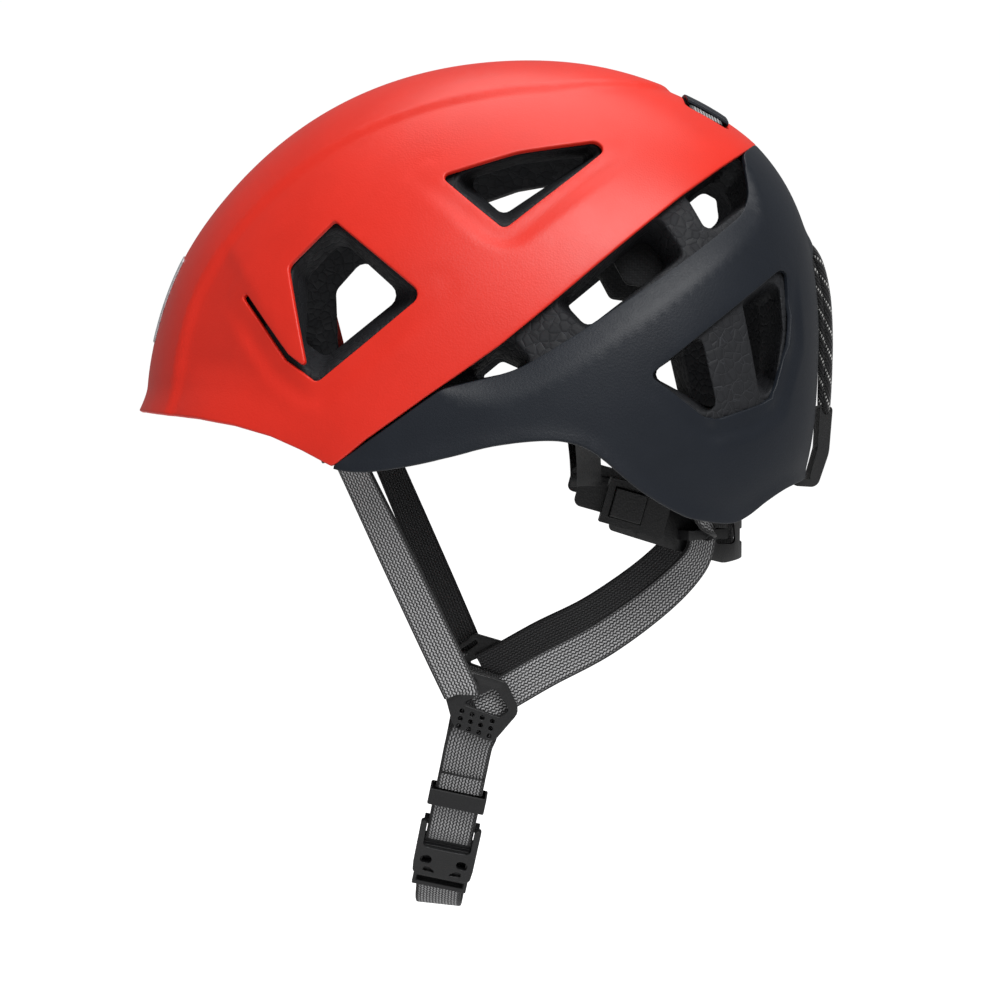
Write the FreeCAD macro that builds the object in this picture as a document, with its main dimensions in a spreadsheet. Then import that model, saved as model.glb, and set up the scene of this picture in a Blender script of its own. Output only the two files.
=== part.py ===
"""Climbing helmet: two moulded shells over a foam liner, a rear fit cradle, and a webbing chin harness.

Frame, in millimetres: +X forward, +Y to the wearer's left, +Z up. The origin is the centre of the head
opening, at the height of the rim beside the ears. All left/right pieces are mirrored in the plane Y = 0.

The head form is a fan of half-planes that turn about an axis parallel to Y, the ear axis. In each
half-plane the wall is the superellipse |y/W|^p + (r/R)^q = 1, where R is the side profile's radius.
"""
import FreeCAD, Part
import math
import os
from FreeCAD import Placement, Rotation, Vector

doc = FreeCAD.newDocument("climbing_helmet")
kept = []

# ---------------------------------------------------------------- driving dimensions

DRIVING = [
    ("half_width", 111.0, "half of the shell's width at the ears"),
    ("ear_axis_forward", 5.0, "X of the ear axis that the head form turns about"),
    ("ear_axis_drop", 25.0, "how far the ear axis lies below the origin"),
    ("across_power", 2.3, "superellipse power across the head"),
    ("radial_power", 2.3, "superellipse power away from the ear axis"),
    ("crown_wall", 2.4, "moulded wall of the crown shell"),
    ("lower_step", 0.8, "how far the lower shell's skin lies under the crown shell's"),
    ("lower_wall", 2.2, "moulded wall of the lower shell"),
    ("fit_gap", 0.4, "air between the liner and the shells"),
    ("liner_wall", 21.0, "foam thickness"),
    ("puck_wall", 9.0, "thickness of the crown puck let into the foam"),
    ("puck_length", 110.0, "crown puck along X"),
    ("puck_width", 84.0, "crown puck along Y"),
    ("pad_wall", 5.5, "comfort pads"),
    ("pad_gap", 0.3, "air between a pad and what backs it"),
    ("cut_reach", 150.0, "half length of a cut that goes through both sides"),
    ("webbing_width", 15.0, "front and rear webbing"),
    ("chin_webbing_width", 20.0, "chin webbing"),
    ("webbing_thickness", 1.6, "all webbing"),
    ("yoke_inner_face", 56.2, "Y of the strap divider's inner face"),
    ("yoke_thickness", 3.6, "strap divider plate"),
    ("buckle_width", 25.0, "side-release buckle"),
    ("buckle_thickness", 7.5, "side-release buckle"),
    ("prong_thickness", 3.6, "spring prongs of the buckle"),
    ("temple_y", 80.2, "Y of a headband arm's middle at its pin"),
    ("arm_y", 54.0, "Y of a headband arm's middle in the cradle"),
    ("arm_height", 12.0, "headband arm"),
    ("arm_thickness", 1.6, "headband arm"),
    ("pin_radius", 3.0, "temple pin"),
    ("pin_play", 0.08, "radial play of a headband arm on its temple pin"),
    ("cradle_reach", 62.0, "how far back the cradle's band bulges"),
    ("cradle_half_span", 52.0, "Y of the cradle band's outer face at its front ends"),
    ("cradle_wall", 2.4, "cradle band"),
    ("nape_pad_wall", 4.0, "pad inside the cradle band"),
    ("tab_travel", 2.0, "how far a release tab is pressed"),
    ("cord_radius", 1.8, "elastic cord of the lamp keeper"),
    ("cord_gap", 0.4, "air round the elastic cord"),
]

sizes = doc.addObject("Spreadsheet::Sheet", "Sizes")
for row, (alias, value, note) in enumerate(DRIVING, start=1):
    sizes.set(f"A{row}", alias.replace("_", " "))
    sizes.set(f"B{row}", str(value))
    sizes.set(f"C{row}", note)
    sizes.setAlias(f"B{row}", alias)
doc.recompute()


def dim(alias):
    """The sheet's number with that alias."""
    return float(sizes.get(alias))


# ---------------------------------------------------------------- head form

# Side profile of the outer skin, as (X, Z), from the brow over the crown to the nape and back below.
PROFILE = [
    (154.0, 27.0), (149.5, 62.0), (137.5, 93.5), (119.0, 120.0), (91.0, 146.5), (58.0, 165.5),
    (24.5, 175.6), (-9.0, 179.0), (-42.0, 176.5), (-75.0, 166.5), (-107.5, 147.0), (-128.0, 120.0),
    (-138.0, 85.0), (-139.5, 45.0), (-134.0, 0.0), (-112.0, -40.0), (-60.0, -78.0), (20.0, -88.0),
    (95.0, -65.0), (140.0, -20.0),
]
EDGE_STATION_DEG = 86.0   # the last loft section, as an angle whose sine is y/W
STATIONS = 15


def profile_wire(inset, y):
    """The form's closed section at that Y, with the skin moved inwards by inset."""
    centre = Vector(dim("ear_axis_forward"), 0, -dim("ear_axis_drop"))
    half_width = dim("half_width") - inset
    share = max(0.0, 1.0 - abs(y / half_width) ** dim("across_power")) ** (1.0 / dim("radial_power"))
    points = []
    for x, z in PROFILE:
        arm = Vector(x, 0, z) - centre
        arm.multiply((arm.Length - inset) / arm.Length * share)
        points.append(centre + arm + Vector(0, y, 0))
    curve = Part.BSplineCurve()
    curve.interpolate(Points=points, PeriodicFlag=True)
    return Part.Wire([curve.toShape()])


forms = {}


def head_form(inset):
    """A solid of the head form, inset from the outer skin. Equal insets share one solid."""
    key = round(inset * 100)
    if key in forms:
        return forms[key]
    half_width = dim("half_width") - inset
    wires = []
    for i in range(STATIONS):
        angle = math.radians(EDGE_STATION_DEG) * (2.0 * i / (STATIONS - 1) - 1.0)
        wires.append(profile_wire(inset, half_width * math.sin(angle)))
    forms[key] = doc.addObject("Part::Feature", f"form_{key}".replace("-", "over_"))
    forms[key].Shape = Part.makeLoft(wires, True, False)
    return forms[key]


def layer(name, outer_inset, inner_inset):
    """The closed wall of the head form between two insets."""
    return cut(name, head_form(outer_inset), [head_form(inner_inset)])


# ---------------------------------------------------------------- outlines in the side view

def outline_geometry(corners):
    """Lines and tangent arcs round a closed outline. Each corner is (u, v, radius)."""
    count = len(corners)
    ends = []
    arcs = []
    for i in range(count):
        u, v, radius = corners[i]
        here = Vector(u, v, 0)
        back = (Vector(*corners[i - 1][:2], 0) - here).normalize()
        ahead = (Vector(*corners[(i + 1) % count][:2], 0) - here).normalize()
        half_angle = back.getAngle(ahead) / 2.0
        if radius <= 0 or half_angle > math.radians(89.5):
            ends.append((here, here))
            arcs.append(None)
            continue
        reach = radius / math.tan(half_angle)
        bisector = (back + ahead).normalize()
        middle = here + bisector * (radius / math.sin(half_angle) - radius)
        ends.append((here + back * reach, here + ahead * reach))
        arcs.append(Part.Arc(here + back * reach, middle, here + ahead * reach))
    geometry = []
    for i in range(count):
        if arcs[i]:
            geometry.append(arcs[i])
        geometry.append(Part.LineSegment(ends[i][1], ends[(i + 1) % count][0]))
    return geometry


SIDE_VIEW = Rotation(Vector(1, 0, 0), 90)   # a sketch's (u, v) becomes (X, Z)


def side_sketch(name, corners, y=0.0):
    """A sketch of the outline in the side view, in the plane at that Y."""
    sketch = doc.addObject("Sketcher::SketchObject", name)
    sketch.Placement = Placement(Vector(0, y, 0), SIDE_VIEW)
    sketch.addGeometry(outline_geometry(corners), False)
    return sketch


def prism(name, sketch, ahead, behind, direction=Vector(0, 1, 0)):
    """A sketch pushed along a direction. ahead and behind are expressions or numbers."""
    body = doc.addObject("Part::Extrusion", name)
    body.Base = sketch
    body.DirMode = "Custom"
    body.Dir = direction
    body.Solid = True
    for prop, value in (("LengthFwd", ahead), ("LengthRev", behind)):
        if isinstance(value, str):
            body.setExpression(prop, value)
        else:
            setattr(body, prop, value)
    return body


def through_cut(name, corners):
    """A prism of the side-view outline through the whole width."""
    return prism(name, side_sketch(name + "_sketch", corners), "Sizes.cut_reach", "Sizes.cut_reach")


# ---------------------------------------------------------------- building blocks

def mirrored(name, source):
    """The source mirrored in the plane Y = 0."""
    copy = doc.addObject("Part::Mirroring", name)
    copy.Source = source
    copy.Normal = Vector(0, 1, 0)
    return copy


def fuse(name, parts):
    """One union of several objects."""
    union = doc.addObject("Part::MultiFuse", name)
    union.Shapes = parts
    return union


def common(name, parts):
    """What several objects share."""
    shared = doc.addObject("Part::MultiCommon", name)
    shared.Shapes = parts
    return shared


def cut(name, base, tools):
    """The base less every tool."""
    for i, tool in enumerate(tools):
        remains = doc.addObject("Part::Cut", name if i == len(tools) - 1 else f"{name}_step{i}")
        remains.Base = base
        remains.Tool = tool
        base = remains
    return base


def bind(obj, prop, size):
    """Sets a size, as an expression when it is text."""
    if isinstance(size, str):
        obj.setExpression(prop, size)
    else:
        setattr(obj, prop, size)


def block(name, spans, place=Placement()):
    """A box in a local frame. spans are (start, length) along its x, y and z.

    A start of None centres that span. Lengths may be expressions.
    """
    solid = doc.addObject("Part::Box", name)
    for prop, (start, length) in zip(("Length", "Width", "Height"), spans):
        bind(solid, prop, length)
    doc.recompute()
    lengths = (solid.Length.Value, solid.Width.Value, solid.Height.Value)
    starts = [-size / 2.0 if span[0] is None else span[0] for span, size in zip(spans, lengths)]
    solid.Placement = place * Placement(Vector(*starts), Rotation())
    return solid


def cylinder(name, radius, height, base, rotation=Rotation()):
    """A cylinder from a base point along the rotated Z axis."""
    rod = doc.addObject("Part::Cylinder", name)
    bind(rod, "Radius", radius)
    bind(rod, "Height", height)
    rod.Placement = Placement(Vector(*base), rotation)
    return rod


def feature(name, shape):
    """A plain object that holds a computed shape."""
    plain = doc.addObject("Part::Feature", name)
    plain.Shape = shape
    return plain


def keep(obj, label):
    """Marks an object as a sub-part: its label names its file."""
    obj.Label = label
    kept.append(obj)
    return obj


def keep_pair(obj, label):
    """A left sub-part and its mirror image on the right."""
    keep(obj, label + "_left")
    keep(mirrored(label + "_mirror", obj), label + "_right")


def strap_frame(middle, run, face):
    """A placement whose z runs against the strap, y is its outer face and x lies across it."""
    up = (run * -1.0).normalize()
    across = face.cross(up).normalize()
    return Placement(middle, Rotation(across, up.cross(across), up, "ZXY"))


def ribbon(route, width, steps_per_leg=3):
    """A flat strap. The route is a list of (point, outward direction), each a Vector."""
    marks = [float(i) for i in range(len(route))]
    middle_line = Part.BSplineCurve()
    middle_line.interpolate(Points=[point for point, face in route], Parameters=marks)
    half_width = width / 2.0
    half_thickness = dim("webbing_thickness") / 2.0
    sections = []
    for i in range(steps_per_leg * (len(route) - 1) + 1):
        at = i / steps_per_leg
        leg = min(i // steps_per_leg, len(route) - 2)
        face = route[leg][1] * (leg + 1 - at) + route[leg + 1][1] * (at - leg)
        centre = middle_line.value(at)
        tangent = middle_line.tangent(at)[0].normalize()
        across = tangent.cross(face).normalize()
        out = across.cross(tangent).normalize()
        corners = [
            centre + across * (side * half_width) + out * (lift * half_thickness)
            for side, lift in ((-1, -1), (1, -1), (1, 1), (-1, 1))]
        sections.append(Part.makePolygon(corners + corners[:1]))
    strap = Part.makeLoft(sections, True, True)
    if strap.Volume < 0:
        strap = Part.makeLoft(sections[::-1], True, True)
    return strap


def tube(points, radius):
    """A round cord along a smooth line through the points."""
    line = Part.BSplineCurve()
    line.interpolate(Points=points)
    start = line.FirstParameter
    ring = Part.Wire([Part.makeCircle(radius, line.value(start), line.tangent(start)[0])])
    return Part.Wire([line.toShape()]).makePipeShell([ring], True, False)


# ---------------------------------------------------------------- elastic lamp keeper, its route

CORD_SIDE = [
    (-126.5, 9.0, 103.5), (-131.5, 9.0, 100.5), (-136.4, 9.0, 96.6), (-140.2, 9.0, 89.0), (-142.9, 9.0, 76.0),
    (-143.9, 9.0, 60.0), (-143.8, 8.8, 44.0), (-143.4, 7.6, 31.0), (-143.2, 4.6, 24.8),
]
CORD_ROUTE = (
    [Vector(*p) for p in CORD_SIDE] + [Vector(-143.1, 0, 23.0)]
    + [Vector(x, -y, z) for x, y, z in reversed(CORD_SIDE)])
cord_room = feature("cord_room", tube(CORD_ROUTE, dim("cord_radius") + dim("cord_gap")))


# ---------------------------------------------------------------- shells

# Closed side-view outlines as (X, Z, corner radius).
CROWN_REGION = [
    (64.8, 6.1, 2), (88.0, 17.6, 12), (120.0, 24.6, 30), (175.0, 27.0, 0), (175.0, 215.0, 0),
    (-160.0, 215.0, 0), (-122.0, 150.0, 0), (-105.0, 137.0, 6), (0.0, 53.0, 60),
]
FRONT_VENT = [
    (66.0, 104.5, 1.5), (29.0, 73.5, 4), (71.5, 39.2, 3), (85.5, 48.4, 4), (105.0, 74.2, 1.0),
    (103.0, 75.7, 1.0), (83.2, 50.4, 3), (75.2, 44.6, 1.2), (84.6, 86.0, 4),
]
MIDDLE_VENT = [(23.5, 122.3, 2), (-7.0, 132.5, 30), (-41.5, 136.5, 4), (-42.5, 130.0, 4), (-3.2, 103.0, 3)]
LOWER_REGION = [
    (64.8, 5.4, 1), (57.0, 4.0, 6), (42.0, 4.6, 20), (4.0, 14.2, 40), (-28.0, 18.5, 22),
    (-62.0, -8.0, 30), (-94.0, -20.0, 22), (-128.0, -3.0, 10), (-165.0, 0.0, 0),
    (-165.0, 141.0, 0), (-110.0, 141.0, 0), (-104.5, 136.4, 4), (-0.4, 52.4, 60),
]
SIDE_SLOT = [
    (27.5, 35.4, 2), (-8.5, 44.4, 14), (-49.0, 70.5, 200), (-99.0, 107.5, 12), (-104.0, 118.0, 6),
    (-101.0, 142.0, 0), (0.0, 62.0, 0),
]
REAR_VENT = [(-59.6, 41.8, 2), (-118.5, 87.5, 3), (-121.5, 60.0, 60), (-112.5, 31.5, 12), (-85.0, 23.4, 10)]

lower_outer = dim("lower_step")
lower_inner = lower_outer + dim("lower_wall")
liner_outer = lower_inner + dim("fit_gap")
liner_inner = liner_outer + dim("liner_wall")
puck_inner = liner_outer + dim("puck_wall")

# The crown shell, with its lamp-clip tongues, side vents and the rear window that the webbing crosses.
crown_skin = common("crown_skin", [layer("crown_wall_layer", 0.0, dim("crown_wall")),
                                   through_cut("crown_region", CROWN_REGION)])
strap_window = block("strap_window", ((-98.0, 18.5), (None, 72.0), (130.0, 60.0)))
crown_shell = cut("crown_shell_solid", crown_skin, [
    through_cut("front_vent_cut", FRONT_VENT), through_cut("middle_vent_cut", MIDDLE_VENT), strap_window])
keep(crown_shell, "crown_shell")

lower_skin = common("lower_skin", [layer("lower_wall_layer", lower_outer, lower_inner),
                                   through_cut("lower_region", LOWER_REGION)])
lower_shell = cut("lower_shell_solid", lower_skin, [
    through_cut("side_slot_cut", SIDE_SLOT), through_cut("rear_vent_cut", REAR_VENT), cord_room])
keep(lower_shell, "lower_shell")

# In the crown shell's rear window: webbing that runs from side to side, under a bridge on the mid-plane.
BRIDGE_SINK = 1.4
bridge = common("bridge_solid", [
    layer("bridge_layer", -0.2, BRIDGE_SINK), block("bridge_span", ((-97.6, 17.7), (None, 58.0), (130.0, 60.0)))])
keep(bridge, "rear_bridge")
cross_webbing = common("cross_webbing_solid", [
    layer("cross_webbing_layer", BRIDGE_SINK + 0.3, BRIDGE_SINK + 0.3 + dim("webbing_thickness")),
    block("cross_webbing_span", ((-96.3, "Sizes.webbing_width"), (None, 71.2), (130.0, 60.0)))])
keep(cross_webbing, "rear_cross_webbing")

reflector = common("reflector_solid", [
    layer("reflector_layer", -0.5, -0.1), block("reflector_span", ((110.0, 60.0), (None, 40.0), (58.0, 35.0)))])
keep(reflector, "front_reflector")


# ---------------------------------------------------------------- headband, its axis and pins

PIN = Vector(-35.0, 0.0, 31.0)
ARM_START = Vector(60.0, 0.0, 20.0)
ARM_END = Vector(-66.0, 0.0, -15.4)
arm_run = (ARM_END - ARM_START).normalize()
arm_rise = Vector(arm_run.z, 0, -arm_run.x)
# Local frame of the headband: x runs back along the arm, y is +Y, z lies across the arm, downwards.
ARM_FRAME = Placement(ARM_START, Rotation(arm_run, Vector(0, 1, 0), arm_run.cross(Vector(0, 1, 0)), "XYZ"))
Y_AXIS = Rotation(Vector(1, 0, 0), -90)   # turns a cylinder's axis to +Y

pin_y = dim("temple_y")
pin_parts = [
    cylinder("pin_flange", 8.0, 1.6, (PIN.x, pin_y + 1.5, PIN.z), Y_AXIS),
    cylinder("pin_shaft", "Sizes.pin_radius", 4.6, (PIN.x, pin_y - 2.6, PIN.z), Y_AXIS),
    cylinder("pin_cap", 5.2, 1.6, (PIN.x, pin_y - 3.0, PIN.z), Y_AXIS)]
temple_pin = fuse("temple_pin_solid", pin_parts)
keep_pair(temple_pin, "temple_pin")
pin_pocket = cylinder("pin_pocket", 8.3, 5.6, (PIN.x, pin_y - 2.2, PIN.z), Y_AXIS)


# ---------------------------------------------------------------- webbing routes and anchors

def point_along(start, run, distance):
    """A point at a distance along a direction."""
    return start + run * distance


FRONT_EXIT = Vector(57.0, 84.0, 3.0)          # where a front strap leaves the foam
YOKE_FRONT = Vector(17.0, 61.1, -86.0)        # where it meets the yoke
front_run = (YOKE_FRONT - FRONT_EXIT).normalize()
FRONT_FACE = Vector(0.55, 0.83, 0.05)
front_anchor_place = strap_frame(point_along(FRONT_EXIT, front_run, -13.0), front_run, FRONT_FACE)

REAR_EXIT = Vector(-86.4, 61.0, -13.0)        # where a rear strap leaves the foam
REAR_INSIDE = Vector(-87.5, 66.5, -1.0)
REAR_FACE = Vector(-0.35, 0.90, 0.25)
rear_anchor_place = strap_frame(REAR_INSIDE, REAR_EXIT - REAR_INSIDE, REAR_FACE)

ANCHOR_HEIGHT = 10.0
ANCHOR_ROOM = 0.3


def strap_anchor(name, place):
    """A moulded loop with a slot for the webbing, and the room it takes in the foam."""
    plate = block(name + "_plate", ((None, 22.0), (None, 6.6), (None, ANCHOR_HEIGHT)), place)
    slot = block(name + "_slot", ((None, 15.8), (None, 2.4), (None, 40.0)), place)
    room = block(name + "_room", ((None, 22.6), (None, 7.2), (-60.0, 65.0 + ANCHOR_ROOM)), place)
    return cut(name + "_solid", plate, [slot]), room


front_anchor, front_anchor_room = strap_anchor("front_anchor", front_anchor_place)
keep_pair(front_anchor, "front_strap_anchor")
rear_anchor, rear_anchor_room = strap_anchor("rear_anchor", rear_anchor_place)
# The foam's lower corner is notched where the rear strap bends in towards the cradle.
rear_strap_notch = block("rear_strap_notch", ((None, 22.0), (-16.0, 16.0), (-39.0, 30.0)), rear_anchor_place)
keep_pair(rear_anchor, "rear_strap_anchor")


# ---------------------------------------------------------------- foam liner, crown puck and pads

LINER_REGION = [
    (66.0, 10.0, 4), (45.0, 8.5, 10), (4.0, 17.5, 40), (-28.0, 21.8, 20), (-60.0, -4.0, 26),
    (-94.0, -15.0, 18), (-126.0, 0.5, 8), (-165.0, 2.0, 0), (-165.0, 215.0, 0), (165.0, 215.0, 0),
    (165.0, 32.0, 0), (120.0, 28.5, 20), (88.0, 21.5, 12),
]
FOAM_OPENINGS = {
    "foam_front": [(64.5, 99.5, 5), (34.0, 74.0, 4), (69.5, 46.0, 4), (80.0, 53.0, 4), (80.0, 83.5, 5)],
    "foam_middle": [(16.5, 120.5, 4), (-8.0, 128.0, 20), (-36.5, 131.0, 3), (-3.0, 108.5, 4)],
    "foam_slot_front": [(-24.5, 69.0, 4), (-52.0, 89.0, 4), (-60.0, 80.5, 4), (-35.0, 61.5, 4)],
    "foam_slot_rear": [(-73.0, 104.0, 4), (-91.5, 117.0, 4), (-97.0, 108.5, 4), (-82.0, 96.5, 4)],
    "foam_rear_front": [(-61.0, 42.3, 3), (-78.5, 54.0, 4), (-80.5, 27.0, 4)],
    "foam_rear_back": [(-99.0, 68.5, 4), (-115.0, 80.0, 4), (-117.0, 60.0, 20), (-109.5, 36.0, 6), (-99.0, 31.5, 4)],
}
puck_room_wall = puck_inner + dim("fit_gap")
puck = common("puck_solid", [
    layer("puck_layer", liner_outer, puck_inner),
    block("puck_span", ((-58.0, "Sizes.puck_length"), (None, "Sizes.puck_width"), (100.0, 100.0)))])
keep(puck, "crown_puck")
puck_room = common("puck_room", [
    layer("puck_room_layer", 0.0, puck_room_wall),
    block("puck_room_span", (
        (-58.3, "Sizes.puck_length + 0.6"), (None, "Sizes.puck_width + 0.6"), (100.0, 100.0)))])

foam_wall = common("foam_wall", [
    layer("foam_layer", liner_outer, liner_inner), through_cut("foam_region", LINER_REGION)])
foam_cuts = [through_cut(name, outline) for name, outline in FOAM_OPENINGS.items()]
for room in (pin_pocket, front_anchor_room, rear_anchor_room, rear_strap_notch):
    foam_cuts += [room, mirrored(room.Name + "_right", room)]
foam = cut("foam_solid", foam_wall, foam_cuts + [puck_room, cord_room])
keep(foam, "foam_liner")

pad_outer = liner_inner + dim("pad_gap")
pad_layer = layer("pad_layer", pad_outer, pad_outer + dim("pad_wall"))
BROW_PAD = [(88.0, 33.5, 8), (150.0, 33.5, 0), (150.0, 59.0, 0), (88.0, 59.0, 8)]
SIDE_PAD = [
    (28.0, 90.0, 5), (28.0, 101.0, 5), (-30.0, 103.0, 20), (-72.0, 100.0, 6), (-76.0, 84.0, 5),
    (-66.0, 77.0, 5), (-52.0, 79.0, 4), (-46.0, 90.0, 5), (-20.0, 92.0, 8), (-5.0, 87.0, 5), (10.0, 91.0, 5),
    (19.0, 88.0, 3),
]
TOP_PAD = [
    (48.0, -19.0, 6), (48.0, 19.0, 6), (18.0, 13.0, 8), (-20.0, 13.0, 8), (-50.0, 20.0, 6),
    (-50.0, -20.0, 6), (-20.0, -13.0, 8), (18.0, -13.0, 8),
]
keep(common("brow_pad_solid", [pad_layer, through_cut("brow_pad_region", BROW_PAD)]), "brow_pad")
side_pad_prism = prism("side_pad_region", side_sketch("side_pad_sketch", SIDE_PAD, 30.0), 90.0, 0.0)
keep_pair(common("side_pad_solid", [pad_layer, side_pad_prism]), "side_pad")
top_pad_sketch = doc.addObject("Sketcher::SketchObject", "top_pad_sketch")
top_pad_sketch.addGeometry(outline_geometry(TOP_PAD), False)
top_pad_prism = prism("top_pad_region", top_pad_sketch, 200.0, 0.0, Vector(0, 0, 1))
keep(common("top_pad_solid", [pad_layer, top_pad_prism]), "top_pad")


# ---------------------------------------------------------------- headband arms

ARM_PLAN = (-68.0, -26.0)
TOOTH_PITCH = 2.5
TOOTH_DEPTH = 1.3
TEETH = 8
arm_half = dim("arm_height") / 2.0
RACK_START = 96.0
ARM_LENGTH = 130.0


def arm_corner(back, across, radius):
    """A side-view corner given along and across the arm."""
    at = ARM_START + arm_run * back - arm_rise * across
    return (at.x, at.z, radius)


arm_plan = doc.addObject("Sketcher::SketchObject", "arm_plan")
arm_plan.Placement = Placement(Vector(0, 0, -60), Rotation())
arm_inner_y = dim("arm_y") - dim("arm_thickness") / 2.0
arm_outer_y = dim("arm_y") + dim("arm_thickness") / 2.0
arm_plan.addGeometry(outline_geometry([
    (ARM_PLAN[0], arm_outer_y, 0), (ARM_PLAN[1], arm_outer_y, 0),
    (ARM_PLAN[1], arm_inner_y, 0), (ARM_PLAN[0], arm_inner_y, 0)]), False)
arm_plan_prism = prism("arm_plan_prism", arm_plan, 140.0, 0.0, Vector(0, 0, 1))

arm_outline = [arm_corner(RACK_START, arm_half, 3.0),
               arm_corner(ARM_LENGTH, arm_half, 1.5), arm_corner(ARM_LENGTH, -arm_half, 1.5)]
for tooth in range(TEETH):
    start = ARM_LENGTH - 4.0 - tooth * TOOTH_PITCH
    arm_outline.append(arm_corner(start, -arm_half, 0))
    arm_outline.append(arm_corner(start - TOOTH_PITCH * 0.35, -arm_half + TOOTH_DEPTH, 0))
    arm_outline.append(arm_corner(start - TOOTH_PITCH * 0.70, -arm_half, 0))
arm_outline.append(arm_corner(RACK_START, -arm_half, 3.0))
arm_side_prism = through_cut("arm_side", arm_outline)
pin_hole = cylinder("pin_hole", "Sizes.pin_radius + Sizes.pin_play", 20.0, (PIN.x, pin_y - 10.0, PIN.z), Y_AXIS)
# Each arm rises from its rack to an eye on the temple pin, leaning out towards the foam.
arm_riser = feature("arm_riser", ribbon([
    (Vector(-37.6, 54.0, -10.5), Vector(0, 1, 0)), (Vector(-37.6, 54.4, -3.0), Vector(0, 1, -0.1)),
    (Vector(-37.2, 61.5, 5.5), Vector(0, 0.77, -0.64)), (Vector(-36.2, 72.5, 15.5), Vector(0, 0.77, -0.64)),
    (Vector(-35.2, 79.4, 23.5), Vector(0, 1, -0.15)), (Vector(-35.0, 80.2, 31.0), Vector(0, 1, 0))], 10.0, 4))
arm_eye = cylinder("arm_eye", 8.0, 1.6, (PIN.x, pin_y - 0.8, PIN.z), Y_AXIS)
arm = cut("headband_arm_solid", fuse("headband_arm_blank", [
    common("headband_rack", [arm_plan_prism, arm_side_prism]), arm_riser, arm_eye]), [pin_hole])
keep_pair(arm, "headband_arm")


# ---------------------------------------------------------------- nape cradle

BAND_CENTRE_X = -45.0
CRADLE_REGION = [
    (-46.0, -5.0, 2), (-68.0, -10.5, 10), (-90.0, -14.5, 14), (-120.0, -19.0, 0),
    (-120.0, -37.0, 0), (-96.0, -38.5, 10), (-74.0, -31.5, 14), (-46.0, -22.5, 2),
]
CRADLE_WINDOW = [(-92.5, -20.0, 2), (-101.5, -21.5, 2), (-102.5, -31.0, 2), (-92.5, -30.0, 2)]
CENTRE_WINDOW_HALF = 13.0


def band_prism(name, inset):
    """An upright elliptic column, the cradle band's outer face moved inwards by inset."""
    reach = dim("cradle_reach") - inset
    span = dim("cradle_half_span") - inset
    if reach >= span:
        oval = Part.Ellipse(Vector(BAND_CENTRE_X, 0, -70), reach, span)
    column = Part.Face(Part.Wire([oval.toShape()])).extrude(Vector(0, 0, 110))
    return feature(name, column)


def band(name, outer_inset, inner_inset, region):
    """A curved wall behind the head between two insets, inside a side-view region."""
    wall = cut(name + "_wall", band_prism(name + "_outer", outer_inset), [band_prism(name + "_inner", inner_inset)])
    return common(name + "_band", [wall, region])


# Adjuster housing in the headband's frame: x back along the arm, y outwards, z across.
HOUSING_START = 108.0
HOUSING_LENGTH = 27.0
TAB_START = 111.0
TAB_LENGTH = 14.0
arm_middle = dim("arm_y")
housing_spans = ((HOUSING_START, HOUSING_LENGTH), (arm_middle - 3.0, 9.5), (None, 19.0))
channel_spans = ((HOUSING_START - 5.0, HOUSING_LENGTH + 10.0), (arm_middle - 1.1, 2.2), (None, 12.8))
cavity_spans = ((TAB_START - 1.2, TAB_LENGTH + 2.4), (arm_middle + 1.0, 3.8), (None, 15.4))
window_spans = ((TAB_START, TAB_LENGTH), (arm_middle + 1.0, 10.0), (None, 13.0))
housing = cut("housing", block("housing_box", housing_spans, ARM_FRAME), [
    block("housing_channel", channel_spans, ARM_FRAME),
    block("housing_cavity", cavity_spans, ARM_FRAME),
    block("housing_window", window_spans, ARM_FRAME)])
TAB_ROOM = 0.35
tab_flange_spans = (
    (TAB_START - 1.2 + TAB_ROOM, TAB_LENGTH + 2.4 - 2 * TAB_ROOM), (arm_middle + 3.4, 1.1),
    (None, 15.4 - 2 * TAB_ROOM))
tab_button_spans = (
    (TAB_START + TAB_ROOM, TAB_LENGTH - 2 * TAB_ROOM), (arm_middle + 3.4, "3.1 + Sizes.tab_travel"),
    (None, 13.0 - 2 * TAB_ROOM))
tab = fuse("release_tab_solid", [
    block("tab_flange", tab_flange_spans, ARM_FRAME), block("tab_button", tab_button_spans, ARM_FRAME)])
keep_pair(tab, "release_tab")

# A belt loop on the band's outer face that holds the rear strap.
GUIDE_X = -84.5
guide_share = (GUIDE_X - BAND_CENTRE_X) / dim("cradle_reach")
guide_y = dim("cradle_half_span") * math.sqrt(1.0 - guide_share ** 2)
guide_out = Vector(guide_share / dim("cradle_reach"), guide_y / dim("cradle_half_span") ** 2, 0).normalize()
guide_place = Placement(
    Vector(GUIDE_X, guide_y, -25.0),
    Rotation(guide_out.cross(Vector(0, 0, 1)), guide_out, Vector(0, 0, 1), "ZYX"))
guide = cut("strap_guide", block("guide_box", ((None, 21.6), (-2.0, 8.4), (None, 4.0)), guide_place), [
    block("guide_hole", ((None, 18.0), (-0.4, 5.2), (None, 20.0)), guide_place)])

cradle_region = through_cut("cradle_region", CRADLE_REGION)
cradle_band = band("cradle", 0.0, dim("cradle_wall"), cradle_region)
cradle_windows = cut("cradle_windows", cradle_band, [
    through_cut("cradle_side_windows", CRADLE_WINDOW),
    block("cradle_centre_window", ((-120.0, 30.0), (None, 2 * CENTRE_WINDOW_HALF), (-31.5, 6.5)))])
cradle = fuse("cradle_union", [
    cradle_windows, housing, mirrored("housing_right", housing), guide, mirrored("guide_right", guide)])
keep(cradle, "nape_cradle")

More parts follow.
